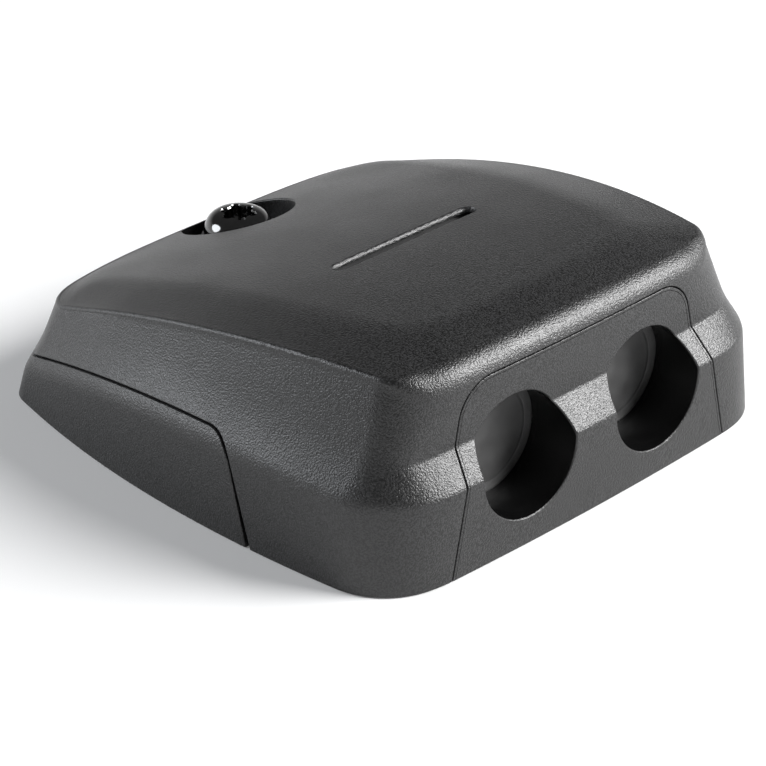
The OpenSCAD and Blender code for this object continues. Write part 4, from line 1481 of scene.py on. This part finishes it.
@dataclass
class CoverMoulding:
    """Hood of the housing with its slot, its bolt pocket and its soft edges."""

    form: HousingForm
    seams: Seams
    edge_r: float = 0.22
    panel_edge_share: float = 0.8
    pocket_edge_r: float = 0.35
    floor_t: float = 2.4
    hole_r: float = 3.3
    ring_seat_r: float = 4.7
    ring_seat_t: float = 1.5
    tower_w: float = 17.0
    tower_gap: float = 1.3
    tower_front: float = 2.0
    insert_r: float = 4.2
    # Depths below the top between which the slot's faces take the darker finish, as painted shade
    painted_shade_below: tuple[float, float] = (0.9, 2.3)
    slot_ends: float = 1.0
    slot_slack: float = 0.05

    def cup(self) -> Solid:
        """Wall under the pocket, cut off inside the thickness of the top and of the rear wall.

        Returns:
            The solid.
        """
        form, s = self.form, self.seams
        rear, far, low = form.top_rear_y, 60, -5.0
        inside, high = rear - form.wall / 2, float(form.ridge_z(rear)) - form.wall / 2
        fall = float(form.ridge_z(s.bolt_y - s.pocket_r)) - float(form.ridge_z(rear))
        slope = fall / (rear - s.bolt_y + s.pocket_r)
        room = np.array([[inside, low], [inside, high], [inside - far, high + far * slope],
                         [inside - far, low]])
        centre = (0.0, s.bolt_y, s.pocket_h - self.floor_t)
        return Solid(disc(s.pocket_r + form.wall, 0, 30, centre)).keep(Solid(prism(room, Axis.X, -40, 40)))

    def tower_room(self, grow: float) -> Solid:
        """Room of the base's bolt tower, grown on all its sides.

        Args:
            grow: Distance by which it is grown.

        Returns:
            The solid.
        """
        s = self.seams
        x = self.tower_w / 2 + grow
        y = s.bolt_y - self.insert_r - self.tower_front - grow
        high = s.pocket_h - self.floor_t - self.tower_gap + grow
        return Solid(block((-x, x), (y, y + 30), (-1, high)))

    def in_slot(self, centres: Array) -> Array:
        """Whether faces with those centres lie in the lower part of the slot, where the darker finish paints
        shade.

        Args:
            centres: Centres of the faces, in millimetres.

        Returns:
            A mask.
        """
        s = self.seams
        x, y = np.abs(centres[:, 0]), np.abs(centres[:, 1] - s.slot_y)
        below = self.form.field_z(centres[:, :2]) - centres[:, 2]
        inside = (x < s.slot_len / 2 + self.slot_ends) & (y < s.slot_w / 2 + self.slot_slack)
        return inside & (below > self.painted_shade_below[0]) & (below < self.painted_shade_below[1])

    def build(self) -> bpy.types.Object:
        """Makes the hood, cuts its seams and openings and rounds their edges.

        Returns:
            The finished piece.
        """
        form, s = self.form, self.seams
        axis = (0.0, s.bolt_y, 0.0)
        hood = form.hood(0.0, form.wall)
        hood.join(self.cup())
        hood.cut(
            s.panel_column(s.panel_gap, -1),
            s.wing_region(s.gap, s.wedge),
            self.tower_room(s.gap),
            s.pocket(),
            Solid(disc(self.hole_r, 1, 50, axis)),
            Solid(disc(self.ring_seat_r, s.pocket_h - self.ring_seat_t, 50, axis)),
            s.slot(),
        )
        hood.cut(
            s.round_edge(s.wing_edge(s.gap, s.wedge), self.edge_r),
            s.round_edge(s.panel_edge(s.panel_gap), self.edge_r * self.panel_edge_share),
            s.round_edge(s.pocket_edge(), self.pocket_edge_r),
        )
        piece = hood.piece("cover_moulding", BLACK)
        # The lower slot walls and floor take the darker smooth finish: painted shade in the slot
        dress_faces(piece, self.in_slot, SMOOTH_PAINTED_SHADE)
        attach(piece, "cover")
        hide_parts("cover")
        return piece


@dataclass
class BaseMoulding:
    """Deck plate with the side wings, the rear rim, the bolt tower and the collar."""

    form: HousingForm
    seams: Seams
    cover: CoverMoulding
    plate_t: float = 3.0
    plate_gap: float = 0.4
    lip_gap: float = 0.3
    lip_t: float = 1.4
    lip_h: float = 2.4
    lip_in: float = 1.0
    tower_h: float = 13.1
    insert_len: float = 7.0
    hole_r: float = 15.0
    hole_d: float = 55.0
    collar_t: float = 2.2
    collar_h: float = 11.0
    collar_ease: float = 0.8
    screw_r: float = 2.4
    screw_sink_r: float = 4.4
    screw_x: float = 62.0
    screw_y: float = 48.0
    screw_d: float = 54.0
    pad_r: float = 5.6
    pad_h: float = 5.5
    pad_ease: float = 0.4
    panel_screw_x: float = 34.4
    panel_screw_d: float = 9.2
    panel_hole_r: float = 1.4
    panel_sink_r: float = 2.95
    tube_clear_r: float = 12.15
    tube_clear_end: float = 12.55
    flange_gap: float = 0.45
    flange_t: float = 1.8
    gasket_t: float = 1.0
    gasket_in: float = 7.0
    gasket_d: float = 24.0
    gasket_gap: float = 0.2
    edge_r: float = 0.22

    @property
    def inner(self) -> float:
        """Depth of the lip's inner face."""
        return self.form.wall + self.lip_gap + self.lip_t

    def tower(self) -> Solid:
        """Bolt tower, cut off inside the thickness of the cover's rear wall.

        Returns:
            The solid.
        """
        s = self.seams
        x = self.cover.tower_w / 2
        y = s.bolt_y - self.cover.insert_r - self.cover.tower_front
        end = self.form.top_rear_y - self.form.wall / 2
        return Solid(block((-x, x), (y, end), (0, self.tower_h)))

    def walls(self) -> Solid:
        """Wings and rear rim: the wall of the housing inside the wings' room and the tower's.

        Returns:
            The solid.
        """
        s = self.seams
        x = self.cover.tower_w / 2
        room = s.wing_region().join(Solid(block((-x, x), (30, 60), (-1, self.tower_h))))
        return self.form.hood(0.0, self.inner - self.lip_t / 2).keep(room)

    def lip(self) -> Solid:
        """Lip that stands up inside the cover, behind the wings and the rear rim.

        Returns:
            The solid.
        """
        form, s = self.form, self.seams
        room = block((-80, 80), (form.knee_y, 90), (self.plate_t / 2, 60))
        lip = form.hood(form.wall + self.lip_gap, self.inner)
        return lip.keep(s.wing_region(-self.lip_in, 0, self.lip_h + self.lip_in), Solid(room))

    def plate(self) -> Solid:
        """Deck plate, cut back in front behind the panel.

        Returns:
            The solid.
        """
        form = self.form
        half = form.foot_plan(form.wall + self.plate_gap)[0]
        depth = form.wall + self.flange_gap + self.flange_t + self.plate_gap
        front = front_layer(form, -2, depth, -1).keep(self.seams.panel_column(self.seams.panel_gap, -1))
        return Solid(prism(whole(half), Axis.Z, 0, self.plate_t)).cut(front)

    def sunk_hole(self, x: float, y: float, r: float, sink_r: float, top: float, upwards: bool) -> Solid:
        """Countersunk hole through a plate, with its wide end above or below.

        Args:
            x: Place across the front.
            y: Place along the depth.
            r: Radius of the hole.
            sink_r: Radius of its wide end.
            top: Thickness of the plate.
            upwards: Whether the wide end is above.

        Returns:
            The solid.
        """
        steps = [[r, -1], [r, top - sink_r + r], [sink_r, top], [sink_r, top + 1]]
        if not upwards:
            steps = [[p, top - h] for p, h in steps[::-1]]
        return Solid(turned(np.array(steps), (x, y, 0), Axis.Z, 40))

    def gasket_recess(self) -> Solid:
        """Recess in the underside for the deck gasket, with the islands that stay.

        Returns:
            The solid.
        """
        form, s, gap = self.form, self.seams, self.gasket_gap
        edge = self.gasket_in - gap
        half = form.half_outline(form.front_y + edge, form.width / 2 - edge, form.rear_y - edge,
                                 form.bow_half - edge, form.front_corner_r, form.rear_corner_r,
                                 form.front_y + form.side_mid, form.side_front_r - edge,
                                 form.side_rear_r - edge)[0]
        start = form.front_y + self.gasket_d - gap
        room = block((-60, 60), (start, 60), (-2, 2))
        recess = Solid(prism(whole(half), Axis.Z, -1, self.gasket_t)).keep(Solid(room))
        x = self.cover.tower_w / 2 - gap
        y = s.bolt_y - self.cover.insert_r - self.cover.tower_front + gap
        tower = block((-x, x), (y, y + 30), (-5, 5))
        collar = disc(self.hole_r + self.collar_t - gap, -5, 5, (0, form.front_y + self.hole_d, 0))
        pads = [Solid(disc(self.pad_r - gap, -5, 5, (x, y, 0))) for x, y in self.screw_places()]
        return recess.cut(Solid(tower), Solid(collar), *pads)

    def screw_places(self) -> list[tuple[float, float]]:
        """Places of the four deck screws."""
        y = self.form.front_y + self.screw_d
        return [(sx * self.screw_x / 2, y + sy * self.screw_y / 2) for sx in (-1, 1) for sy in (-1, 1)]

    def build(self) -> bpy.types.Object:
        """Joins plate, walls, lip, tower, collar and pads, then cuts the holes.

        Returns:
            The finished piece.
        """
        form, s = self.form, self.seams
        deck = (0.0, form.front_y + self.hole_d, 0.0)
        bolt = (0.0, s.bolt_y, 0.0)
        pads = [Solid(disc(self.pad_r, 0, self.pad_h, (x, y, 0), ease=self.pad_ease))
                for x, y in self.screw_places()]
        base = self.plate().join(
            self.walls(), self.lip(), self.tower(),
            Solid(disc(self.hole_r + self.collar_t, 0, self.collar_h, deck, ease=self.collar_ease)), *pads,
        )
        tubes = [Solid(disc(self.tube_clear_r, -1, self.tube_clear_end, (x, form.front_y, s.port_h), Axis.Y))
                 for x in s.port_centres]
        deck_screws = [self.sunk_hole(x, y, self.screw_r, self.screw_sink_r, self.pad_h, True)
                       for x, y in self.screw_places()]
        panel_screws = [self.sunk_hole(x, form.front_y + self.panel_screw_d, self.panel_hole_r,
                                       self.panel_sink_r, self.plate_t, False)
                        for x in (-self.panel_screw_x, self.panel_screw_x)]
        base.cut(
            Solid(disc(self.hole_r, -1, 20, deck)),
            Solid(disc(self.cover.insert_r, self.tower_h - self.insert_len, 40, bolt)),
            Solid(disc(self.cover.hole_r, self.tower_h - self.insert_len - 2, 40, bolt)),
            self.gasket_recess(), *tubes, *deck_screws, *panel_screws,
        )
        base.cut(s.round_edge(s.wing_edge(0.0, 0.0), self.edge_r))
        piece = base.piece("base_moulding", BLACK)
        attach(piece, "base")
        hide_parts("base")
        return piece


def front_layer(form: HousingForm, start: float, end: float, low: float) -> Solid:
    """Layer of the front wall between two depths, turned about the bow's centre.

    The wall's section is a chain of three lines. Moved inwards by t, each of its corners goes
    along the mean of the two normals, far enough to keep the layer's thickness.

    Args:
        form: Form of the housing.
        start: Depth at which the layer starts.
        end: Depth at which it ends.
        low: Height of its lower end.

    Returns:
        The solid.
    """
    inset = form.front_draft + form.band_front_in
    high = form.crease_h + form.front_edge_bow - form.front_edge_share * form.front_edge_r
    line = np.array([[0, 0], [form.front_draft, form.waist_front_h],
                     [inset, form.waist_front_h + form.band_rise], [inset + form.upper_front_in, high]])
    ahead = unit(np.diff(line, axis=0))
    normal = np.stack([ahead[:, 1], -ahead[:, 0]], -1)
    corner = normal[:-1] + normal[1:]
    corner /= 1 + (normal[:-1] * normal[1:]).sum(-1, keepdims=True)
    move = np.concatenate([[[1.0, 0.0]], corner, normal[-1:]])
    section = np.concatenate([line + start * move, (line + end * move)[::-1]])
    section[[0, -1], 1] = low
    ahead_deg, reach_deg, count = -90, 4, 97
    turn = np.radians(np.linspace(ahead_deg - reach_deg, ahead_deg + reach_deg, count))[:, None]
    radius = form.bow_r - section[:, 0]
    rows = np.stack([radius * np.cos(turn), form.front_y + form.bow_r + radius * np.sin(turn),
                     np.broadcast_to(section[:, 1], (count, len(section)))], -1)
    return Solid(loft(rows))


@dataclass
class FrontPanel:
    """Front moulding with the two cable ports, set into the cover."""

    form: HousingForm
    seams: Seams
    flange_in: float = 2.85
    flange_t: float = 1.8
    flange_w: float = 3.6
    low: float = 3.0
    tube_t: float = 2.0
    tube_d: float = 10.0
    boss_r: float = 3.15
    boss_end: float = 12.55
    boss_places: tuple[tuple[float, float], ...] = ((-28, 6.4), (28, 6.4), (0, 24.4), (0, 6.4))
    pilot_r: float = 1.25
    pilot_len: float = 5.5
    foot_x: float = 34.4
    foot_d: float = 9.2
    foot_h: float = 11.0
    foot_hole: float = 7.5
    foot_ease: float = 0.3
    gasket_w: float = 1.8
    gasket_t: float = 1.0
    groove_over: float = 0.5
    rim_r: float = 0.3
    edge_r: float = 0.16
    border_in: float = 0.5
    border_w: float = 0.1
    border_depth: float = 0.12
    bore_slack: float = 0.02

    def along_y(self, x: float, z: float, radius: float, start: float, end: float) -> Solid:
        """Cylinder along the depth, from start to end behind the front."""
        return Solid(disc(radius, start, end, (x, self.form.front_y, z), Axis.Y))

    def foot(self, side: int) -> Solid:
        """Foot that one of the panel's screws holds.

        Args:
            side: -1 for the left foot, 1 for the right one.

        Returns:
            The solid.
        """
        x, y = side * self.foot_x, self.form.front_y + self.foot_d
        across = tuple(sorted((x, x - side * self.boss_r)))
        foot = Solid(disc(self.boss_r, 0, self.foot_h, (x, y, 0), ease=self.foot_ease))
        foot.join(Solid(block(across, (y - self.boss_r - self.flange_t, y), (0, self.foot_h))))
        return foot.keep(front_layer(self.form, self.flange_in, 20, self.low))

    def gasket_groove(self) -> Solid:
        """Groove for the gasket in the flange's outer face.

        Returns:
            The solid.
        """
        s, mid = self.seams, (self.flange_w + self.gasket_w) / 2
        band = s.panel_column(mid, self.low).cut(s.panel_column(mid - self.gasket_w, -1))
        layer = front_layer(self.form, self.flange_in - self.groove_over, self.flange_in + self.gasket_t,
                            self.low)
        return band.keep(layer)

    def border(self) -> Solid:
        """Fine line inside the panel's edge, a swept V.

        Returns:
            The solid.
        """
        w, d = self.border_w / 2, self.border_depth
        section = np.array([[0, -d], [w, 0], [1.5 * w, 0.5 * d], [-1.5 * w, 0.5 * d], [-w, 0]])
        path, normals = self.seams.panel_edge(-self.border_in)
        return Solid(sweep(path, normals, section, False))

    def in_bores(self, centres: Array) -> Array:
        """Whether faces with those centres belong to the bore of a port, where the darker finish paints
        shade.

        Args:
            centres: Centres of the faces, in millimetres.

        Returns:
            A mask.
        """
        s = self.seams
        away = np.hypot(np.abs(centres[:, 0]) - s.port_pitch / 2, centres[:, 2] - s.port_h)
        return away < s.port_r + self.bore_slack

    def build(self) -> bpy.types.Object:
        """Joins the wall, its flange, tubes, bosses and feet, then cuts the ports and the holes.

        Returns:
            The finished piece.
        """
        form, s = self.form, self.seams
        flange = front_layer(form, self.flange_in, self.flange_in + self.flange_t, self.low)
        flange.keep(s.panel_column(self.flange_w, self.low))
        tubes = [self.along_y(x, s.port_h, s.port_r + self.tube_t, 0, self.tube_d) for x in s.port_centres]
        bosses = [self.along_y(x, z, self.boss_r, 0, self.boss_end) for x, z in self.boss_places]
        posts = tubes[0].join(tubes[1], *bosses).keep(front_layer(form, self.flange_in, 22, self.low))
        panel = form.envelope()
        panel.keep(front_layer(form, -5, self.flange_in + self.flange_t, -1), s.panel_column(0.0))
        panel.join(flange, posts, self.foot(-1), self.foot(1))
        pilots = [self.along_y(x, z, self.pilot_r, self.boss_end - self.pilot_len, self.boss_end + 1)
                  for x, z in self.boss_places]
        holes = [Solid(disc(self.pilot_r, -1, self.foot_hole, (x, form.front_y + self.foot_d, 0)))
                 for x in (-self.foot_x, self.foot_x)]
        ports = [self.along_y(x, s.port_h, s.port_r, -1, self.tube_d + 1) for x in s.port_centres]
        panel.cut(*ports, *pilots, *holes, self.gasket_groove())
        rims = [s.round_edge(s.port_edge(x), self.rim_r, True) for x in s.port_centres]
        panel.cut(*rims, s.round_edge(s.panel_edge(0.0), self.edge_r), self.border())
        piece = panel.piece("front_panel_moulding", BLACK)
        # The port bores take the darker smooth finish: painted shade inside the ports
        dress_faces(piece, self.in_bores, SMOOTH_PAINTED_SHADE)
        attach(piece, "base")
        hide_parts("port_panel")
        return piece


@dataclass
class CableSeal:
    """Blank rubber seal behind one of the ports."""

    form: HousingForm
    seams: Seams
    tube_d: float = 10.15
    flange_r: float = 12.0
    flange_t: float = 2.4
    blank_t: float = 1.8
    dish: float = 0.5
    dish_r: float = 8.8
    ring_w: float = 0.7
    ring_depth: float = 0.08
    sleeve_r: float = 8.6
    sleeve_t: float = 1.7
    sleeve_len: float = 7.6
    taper: float = 0.4
    edge: float = 0.2
    hub_r: float = 0.02

    def face(self) -> Array:
        """Profile of the face from its middle outwards, as (radius, depth).

        The dish is a parabola. A ring is pressed into it at its edge, half a cosine wave deep.

        Returns:
            Points (radius, depth).
        """
        r = np.linspace(self.hub_r, self.dish_r, 40)
        dish = self.dish * (1 - (r / self.dish_r) ** 2)
        wave = np.clip((r - self.dish_r + self.ring_w) / self.ring_w, 0, 1)
        ring = self.ring_depth * (1 - np.cos(2 * np.pi * wave)) / 2
        return np.stack([r, dish + ring], -1)

    def build(self, side: int, name: str, node: str) -> bpy.types.Object:
        """Turns the seal's profile about the port's axis.

        Args:
            side: -1 for the left port, 1 for the right one.
            name: The piece's name.
            node: The CAD node that it stands for.

        Returns:
            The finished piece.
        """
        end = self.flange_t + self.sleeve_len
        inner, r, edge = self.sleeve_r - self.sleeve_t, self.flange_r, self.edge
        back = [[r - edge, 0], [r, edge], [r, self.flange_t - edge], [r - edge, self.flange_t],
                [self.sleeve_r, self.flange_t], [self.sleeve_r - self.taper, end], [inner, end],
                [inner, self.blank_t], [self.hub_r, self.blank_t + self.dish]]
        profile = np.concatenate([self.face(), back])
        centre = (side * self.seams.port_pitch / 2, self.form.front_y + self.tube_d, self.seams.port_h)
        seal = Solid(turned(profile, centre, Axis.Y, 128))
        piece = seal.piece(name, RUBBER, 30)
        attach(piece, "base")
        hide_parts(node)
        return piece


@dataclass
class CoverBolt:
    """Domed bolt with a six-lobed recess."""

    seams: Seams
    seat_h: float = 18.0
    seat_gap: float = 0.02
    head_r: float = 6.2
    head_h: float = 4.3
    rim_h: float = 0.9
    chamfer: float = 0.3
    shank_r: float = 2.92
    shank_len: float = 12.9
    tip: float = 0.6
    recess_r: float = 2.35
    lobe_r: float = 0.85
    lobes: int = 6
    lobe_blend: float = 8.0
    lobe_points: int = 180
    recess_depth: float = 2.4
    recess_edge: float = 0.18
    drill_in: float = 0.9
    drill_deep: float = 0.5
    floor_in: float = 0.12
    floor_rise: float = 0.4
    mouth_h: float = 0.3
    mouth_edge_h: float = 0.05

    def dome(self) -> Array:
        """Profile of the head from its seat to its middle, as (radius, height).

        At angle a the radius is the head's times cos a to the power 0.4, and the height rises from
        the rim with sin a to the power 1.3.

        Returns:
            Points (radius, height).
        """
        a = np.radians(np.linspace(0, 89.5, 40))
        radius = self.head_r * np.cos(a) ** 0.4
        height = self.rim_h + (self.head_h - self.rim_h) * np.sin(a) ** 1.3
        return np.stack([radius, height], -1)

    def lobed(self, grow: float) -> Array:
        """Outline of the recess: a circle with round lobes, blended by a soft maximum.

        Args:
            grow: Distance by which it is grown.

        Returns:
            Points (x, y).
        """
        t = np.linspace(0, 2 * np.pi, self.lobe_points, endpoint=False)
        turn = (t + np.pi / self.lobes) % (2 * np.pi / self.lobes) - np.pi / self.lobes
        across = self.recess_r * np.sin(turn)
        reach = np.sqrt(np.clip(self.lobe_r**2 - across**2, 0, None))
        lobe = np.where(np.abs(across) < self.lobe_r, self.recess_r * np.cos(turn) + reach, 0)
        k = self.lobe_blend
        radius = np.log(np.exp(k * lobe) + np.exp(k * self.recess_r)) / k + grow
        return radius[:, None] * ray(t)

    def recess(self) -> Solid:
        """Cutter of the recess, widened at its mouth: at each step its growth and its height.

        Returns:
            The solid.
        """
        top = self.seat_h + self.head_h
        floor = top - self.recess_depth
        steps = [(-self.drill_in, floor - self.drill_deep), (-self.floor_in, floor),
                 (0.0, floor + self.floor_rise), (0.0, top - self.mouth_h),
                 (self.recess_edge, top - self.mouth_edge_h), (3 * self.recess_edge, top + self.mouth_h)]
        axis = [0, self.seams.bolt_y]
        rows = [np.concatenate([self.lobed(g) + axis, np.full((self.lobe_points, 1), z)], -1)
                for g, z in steps]
        return Solid(loft(np.stack(rows)))

    def build(self) -> bpy.types.Object:
        """Turns the bolt's profile and cuts the recess.

        Returns:
            The finished piece.
        """
        shank = [[0.02, -self.shank_len], [self.shank_r - self.tip, -self.shank_len],
                 [self.shank_r, -self.shank_len + self.tip], [self.shank_r, self.seat_gap],
                 [self.head_r - self.chamfer, self.seat_gap], [self.head_r, self.chamfer]]
        profile = np.concatenate([shank, self.dome()])
        bolt = Solid(turned(profile, (0, self.seams.bolt_y, self.seat_h), Axis.Z, 160))
        bolt.cut(self.recess())
        piece = bolt.piece("domed_bolt", DARK_STEEL, 24)
        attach(piece, "bolt")
        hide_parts("cover_bolt")
        return piece


# Parts that keep their CAD shape

FINISH_OF_SLOT = {"housing": BLACK, "inner_plastic": GREY, "seal_rubber": RUBBER, "steel": STEEL,
                  "brass": BRASS}


def dress_kept_parts() -> None:
    """Gives each CAD node that still shows the finish of its material slot."""
    for part in frame["record"]["subparts"]:
        body = frame["nodes"][part["node"]]
        body.data.materials.clear()
        body.data.materials.append(FINISH_OF_SLOT[part["material_slot"]].material())


# Studio


@dataclass(frozen=True)
class Lamp:
    """Round soft lamp that faces the object."""

    name: str
    towards: Triple
    level: float
    size: float
    colour: Triple = (1.0, 1.0, 1.0)
    distance: float = 1.2

    def build(self) -> None:
        """Places the lamp. Its power gives a white surface that faces it that level."""
        data = bpy.data.lights.new(self.name, "AREA")
        data.shape = "DISK"
        data.size = self.size
        data.energy = math.pi**2 * self.distance**2 * self.level
        data.color = self.colour
        lamp = bpy.data.objects.new(self.name, data)
        towards = Vector(self.towards).normalized()
        lamp.location = towards * self.distance
        lamp.rotation_euler = towards.to_track_quat("Z", "Y").to_euler()
        bpy.context.scene.collection.objects.link(lamp)


@dataclass(frozen=True)
class PhotoCamera:
    """Camera of the photograph, with lengths in millimetres."""

    azimuth: float = -43.147
    elevation: float = 29.9181
    roll: float = -0.7701
    distance: float = 469.3697
    across: float = -34.4056
    up: float = 19.2532
    focal_px: float = 2925.5274
    image_px: int = 766
    sensor: float = 36.0
    centre_x_px: float = -2.9698
    centre_y_px: float = 2.275
    aim_y: float = -48.63
    near_m: float = 0.01

    def build(self) -> None:
        """Places the camera from its angles, its distance and its offsets in its own plane."""
        a, e, r = (math.radians(v) for v in (self.azimuth, self.elevation, self.roll))
        back = Vector((math.sin(a) * math.cos(e), -math.cos(a) * math.cos(e), math.sin(e)))
        right = Vector((math.cos(a), math.sin(a), 0))
        up = back.cross(right)
        right, up = right * math.cos(r) + up * math.sin(r), up * math.cos(r) - right * math.sin(r)
        place = self.across * right + self.up * up + self.distance * back + Vector((0, self.aim_y, 0))
        data = bpy.data.cameras.new("camera")
        data.sensor_width = self.sensor
        data.lens = self.focal_px * self.sensor / self.image_px
        data.shift_x = -self.centre_x_px / self.image_px
        data.shift_y = self.centre_y_px / self.image_px
        data.clip_start = self.near_m
        camera = bpy.data.objects.new("camera", data)
        turn = Matrix((right, up, back)).transposed().to_4x4()
        camera.matrix_world = Matrix.Translation(place * MM) @ turn
        bpy.context.scene.collection.objects.link(camera)
        bpy.context.scene.camera = camera


@dataclass(frozen=True)
class Studio:
    """Pale floor, graded white room and two soft lamps."""

    floor_half: float = 4.0
    floor_z: float = -0.0002
    floor_colour: float = 0.82
    floor_glow: float = 0.1
    room_light: float = 0.1
    room_top: float = 0.11
    room_grade: tuple[float, float] = (0.02, 0.42)
    key: Lamp = Lamp("key_lamp", (0.58, -0.6, 0.53), 2.1, 0.7)
    side: Lamp = Lamp("side_lamp", (-0.6, 0.66, 0.45), 0.6, 0.7, (0.93, 0.96, 1.0))

    def floor(self) -> None:
        """Floor just below the object. It is lit by the lamps, and glows a little where it is seen."""
        mesh = bpy.data.meshes.new("floor")
        h, z = self.floor_half, self.floor_z
        mesh.from_pydata([(-h, -h, z), (h, -h, z), (h, h, z), (-h, h, z)], [], [(0, 1, 2, 3)])
        made = bpy.data.materials.new("pale_floor")
        made.use_nodes = True
        graph = Graph(made.node_tree)
        graph.set("Base Color", (*[self.floor_colour] * 3, 1))
        graph.set("Roughness", 1.0)
        graph.set("Specular IOR Level", 0.0)
        graph.set("Emission Color", (1, 1, 1, 1))
        glow = graph.blend(graph.seen(), (0.0, self.floor_glow))
        graph.link(glow, graph.shader.inputs["Emission Strength"])
        mesh.materials.append(made)
        floor = bpy.data.objects.new("floor", mesh)
        bpy.context.scene.collection.objects.link(floor)

    def room(self) -> None:
        """World: white for the camera, and graded from white at the horizon to grey above in gloss."""
        world = bpy.data.worlds.new("room")
        world.use_nodes = True
        graph = Graph(world.node_tree, "Background", "Generated")
        split = graph.tree.nodes.new("ShaderNodeSeparateXYZ")
        graph.link(graph.place, split.inputs[0])
        grade = graph.spread(split.outputs["Z"], 1.0, self.room_top, *self.room_grade)
        path = graph.tree.nodes.new("ShaderNodeLightPath")
        gloss = graph.blend(graph.seen(), (self.room_light, grade))
        light = graph.blend(path.outputs["Is Camera Ray"], (gloss, 1.0))
        graph.link(light, graph.shader.inputs["Strength"])
        graph.set("Color", (1, 1, 1, 1))
        bpy.context.scene.world = world

    def build(self) -> None:
        """Sets up the floor, the room, the lamps and the view."""
        self.floor()
        self.room()
        self.key.build()
        self.side.build()
        bpy.context.scene.view_settings.view_transform = "Standard"


def main() -> None:
    """Builds every sub-assembly in order and reports each piece."""
    logging.basicConfig(level=logging.INFO, format="%(message)s")
    PhotoCamera().build()
    form = HousingForm()
    seams = Seams(form, SkinMap(form))
    dress_kept_parts()
    cover = CoverMoulding(form, seams)
    seal = CableSeal(form, seams)
    pieces = [
        cover.build(),
        BaseMoulding(form, seams, cover).build(),
        FrontPanel(form, seams).build(),
        seal.build(-1, "left_blank_seal", "left_cable_seal"),
        seal.build(1, "right_blank_seal", "right_cable_seal"),
        CoverBolt(seams).build(),
    ]
    for piece in pieces:
        log.info("%s: %d faces", piece.name, len(piece.data.polygons))
    Studio().build()


if __name__ == "__main__":
    main()
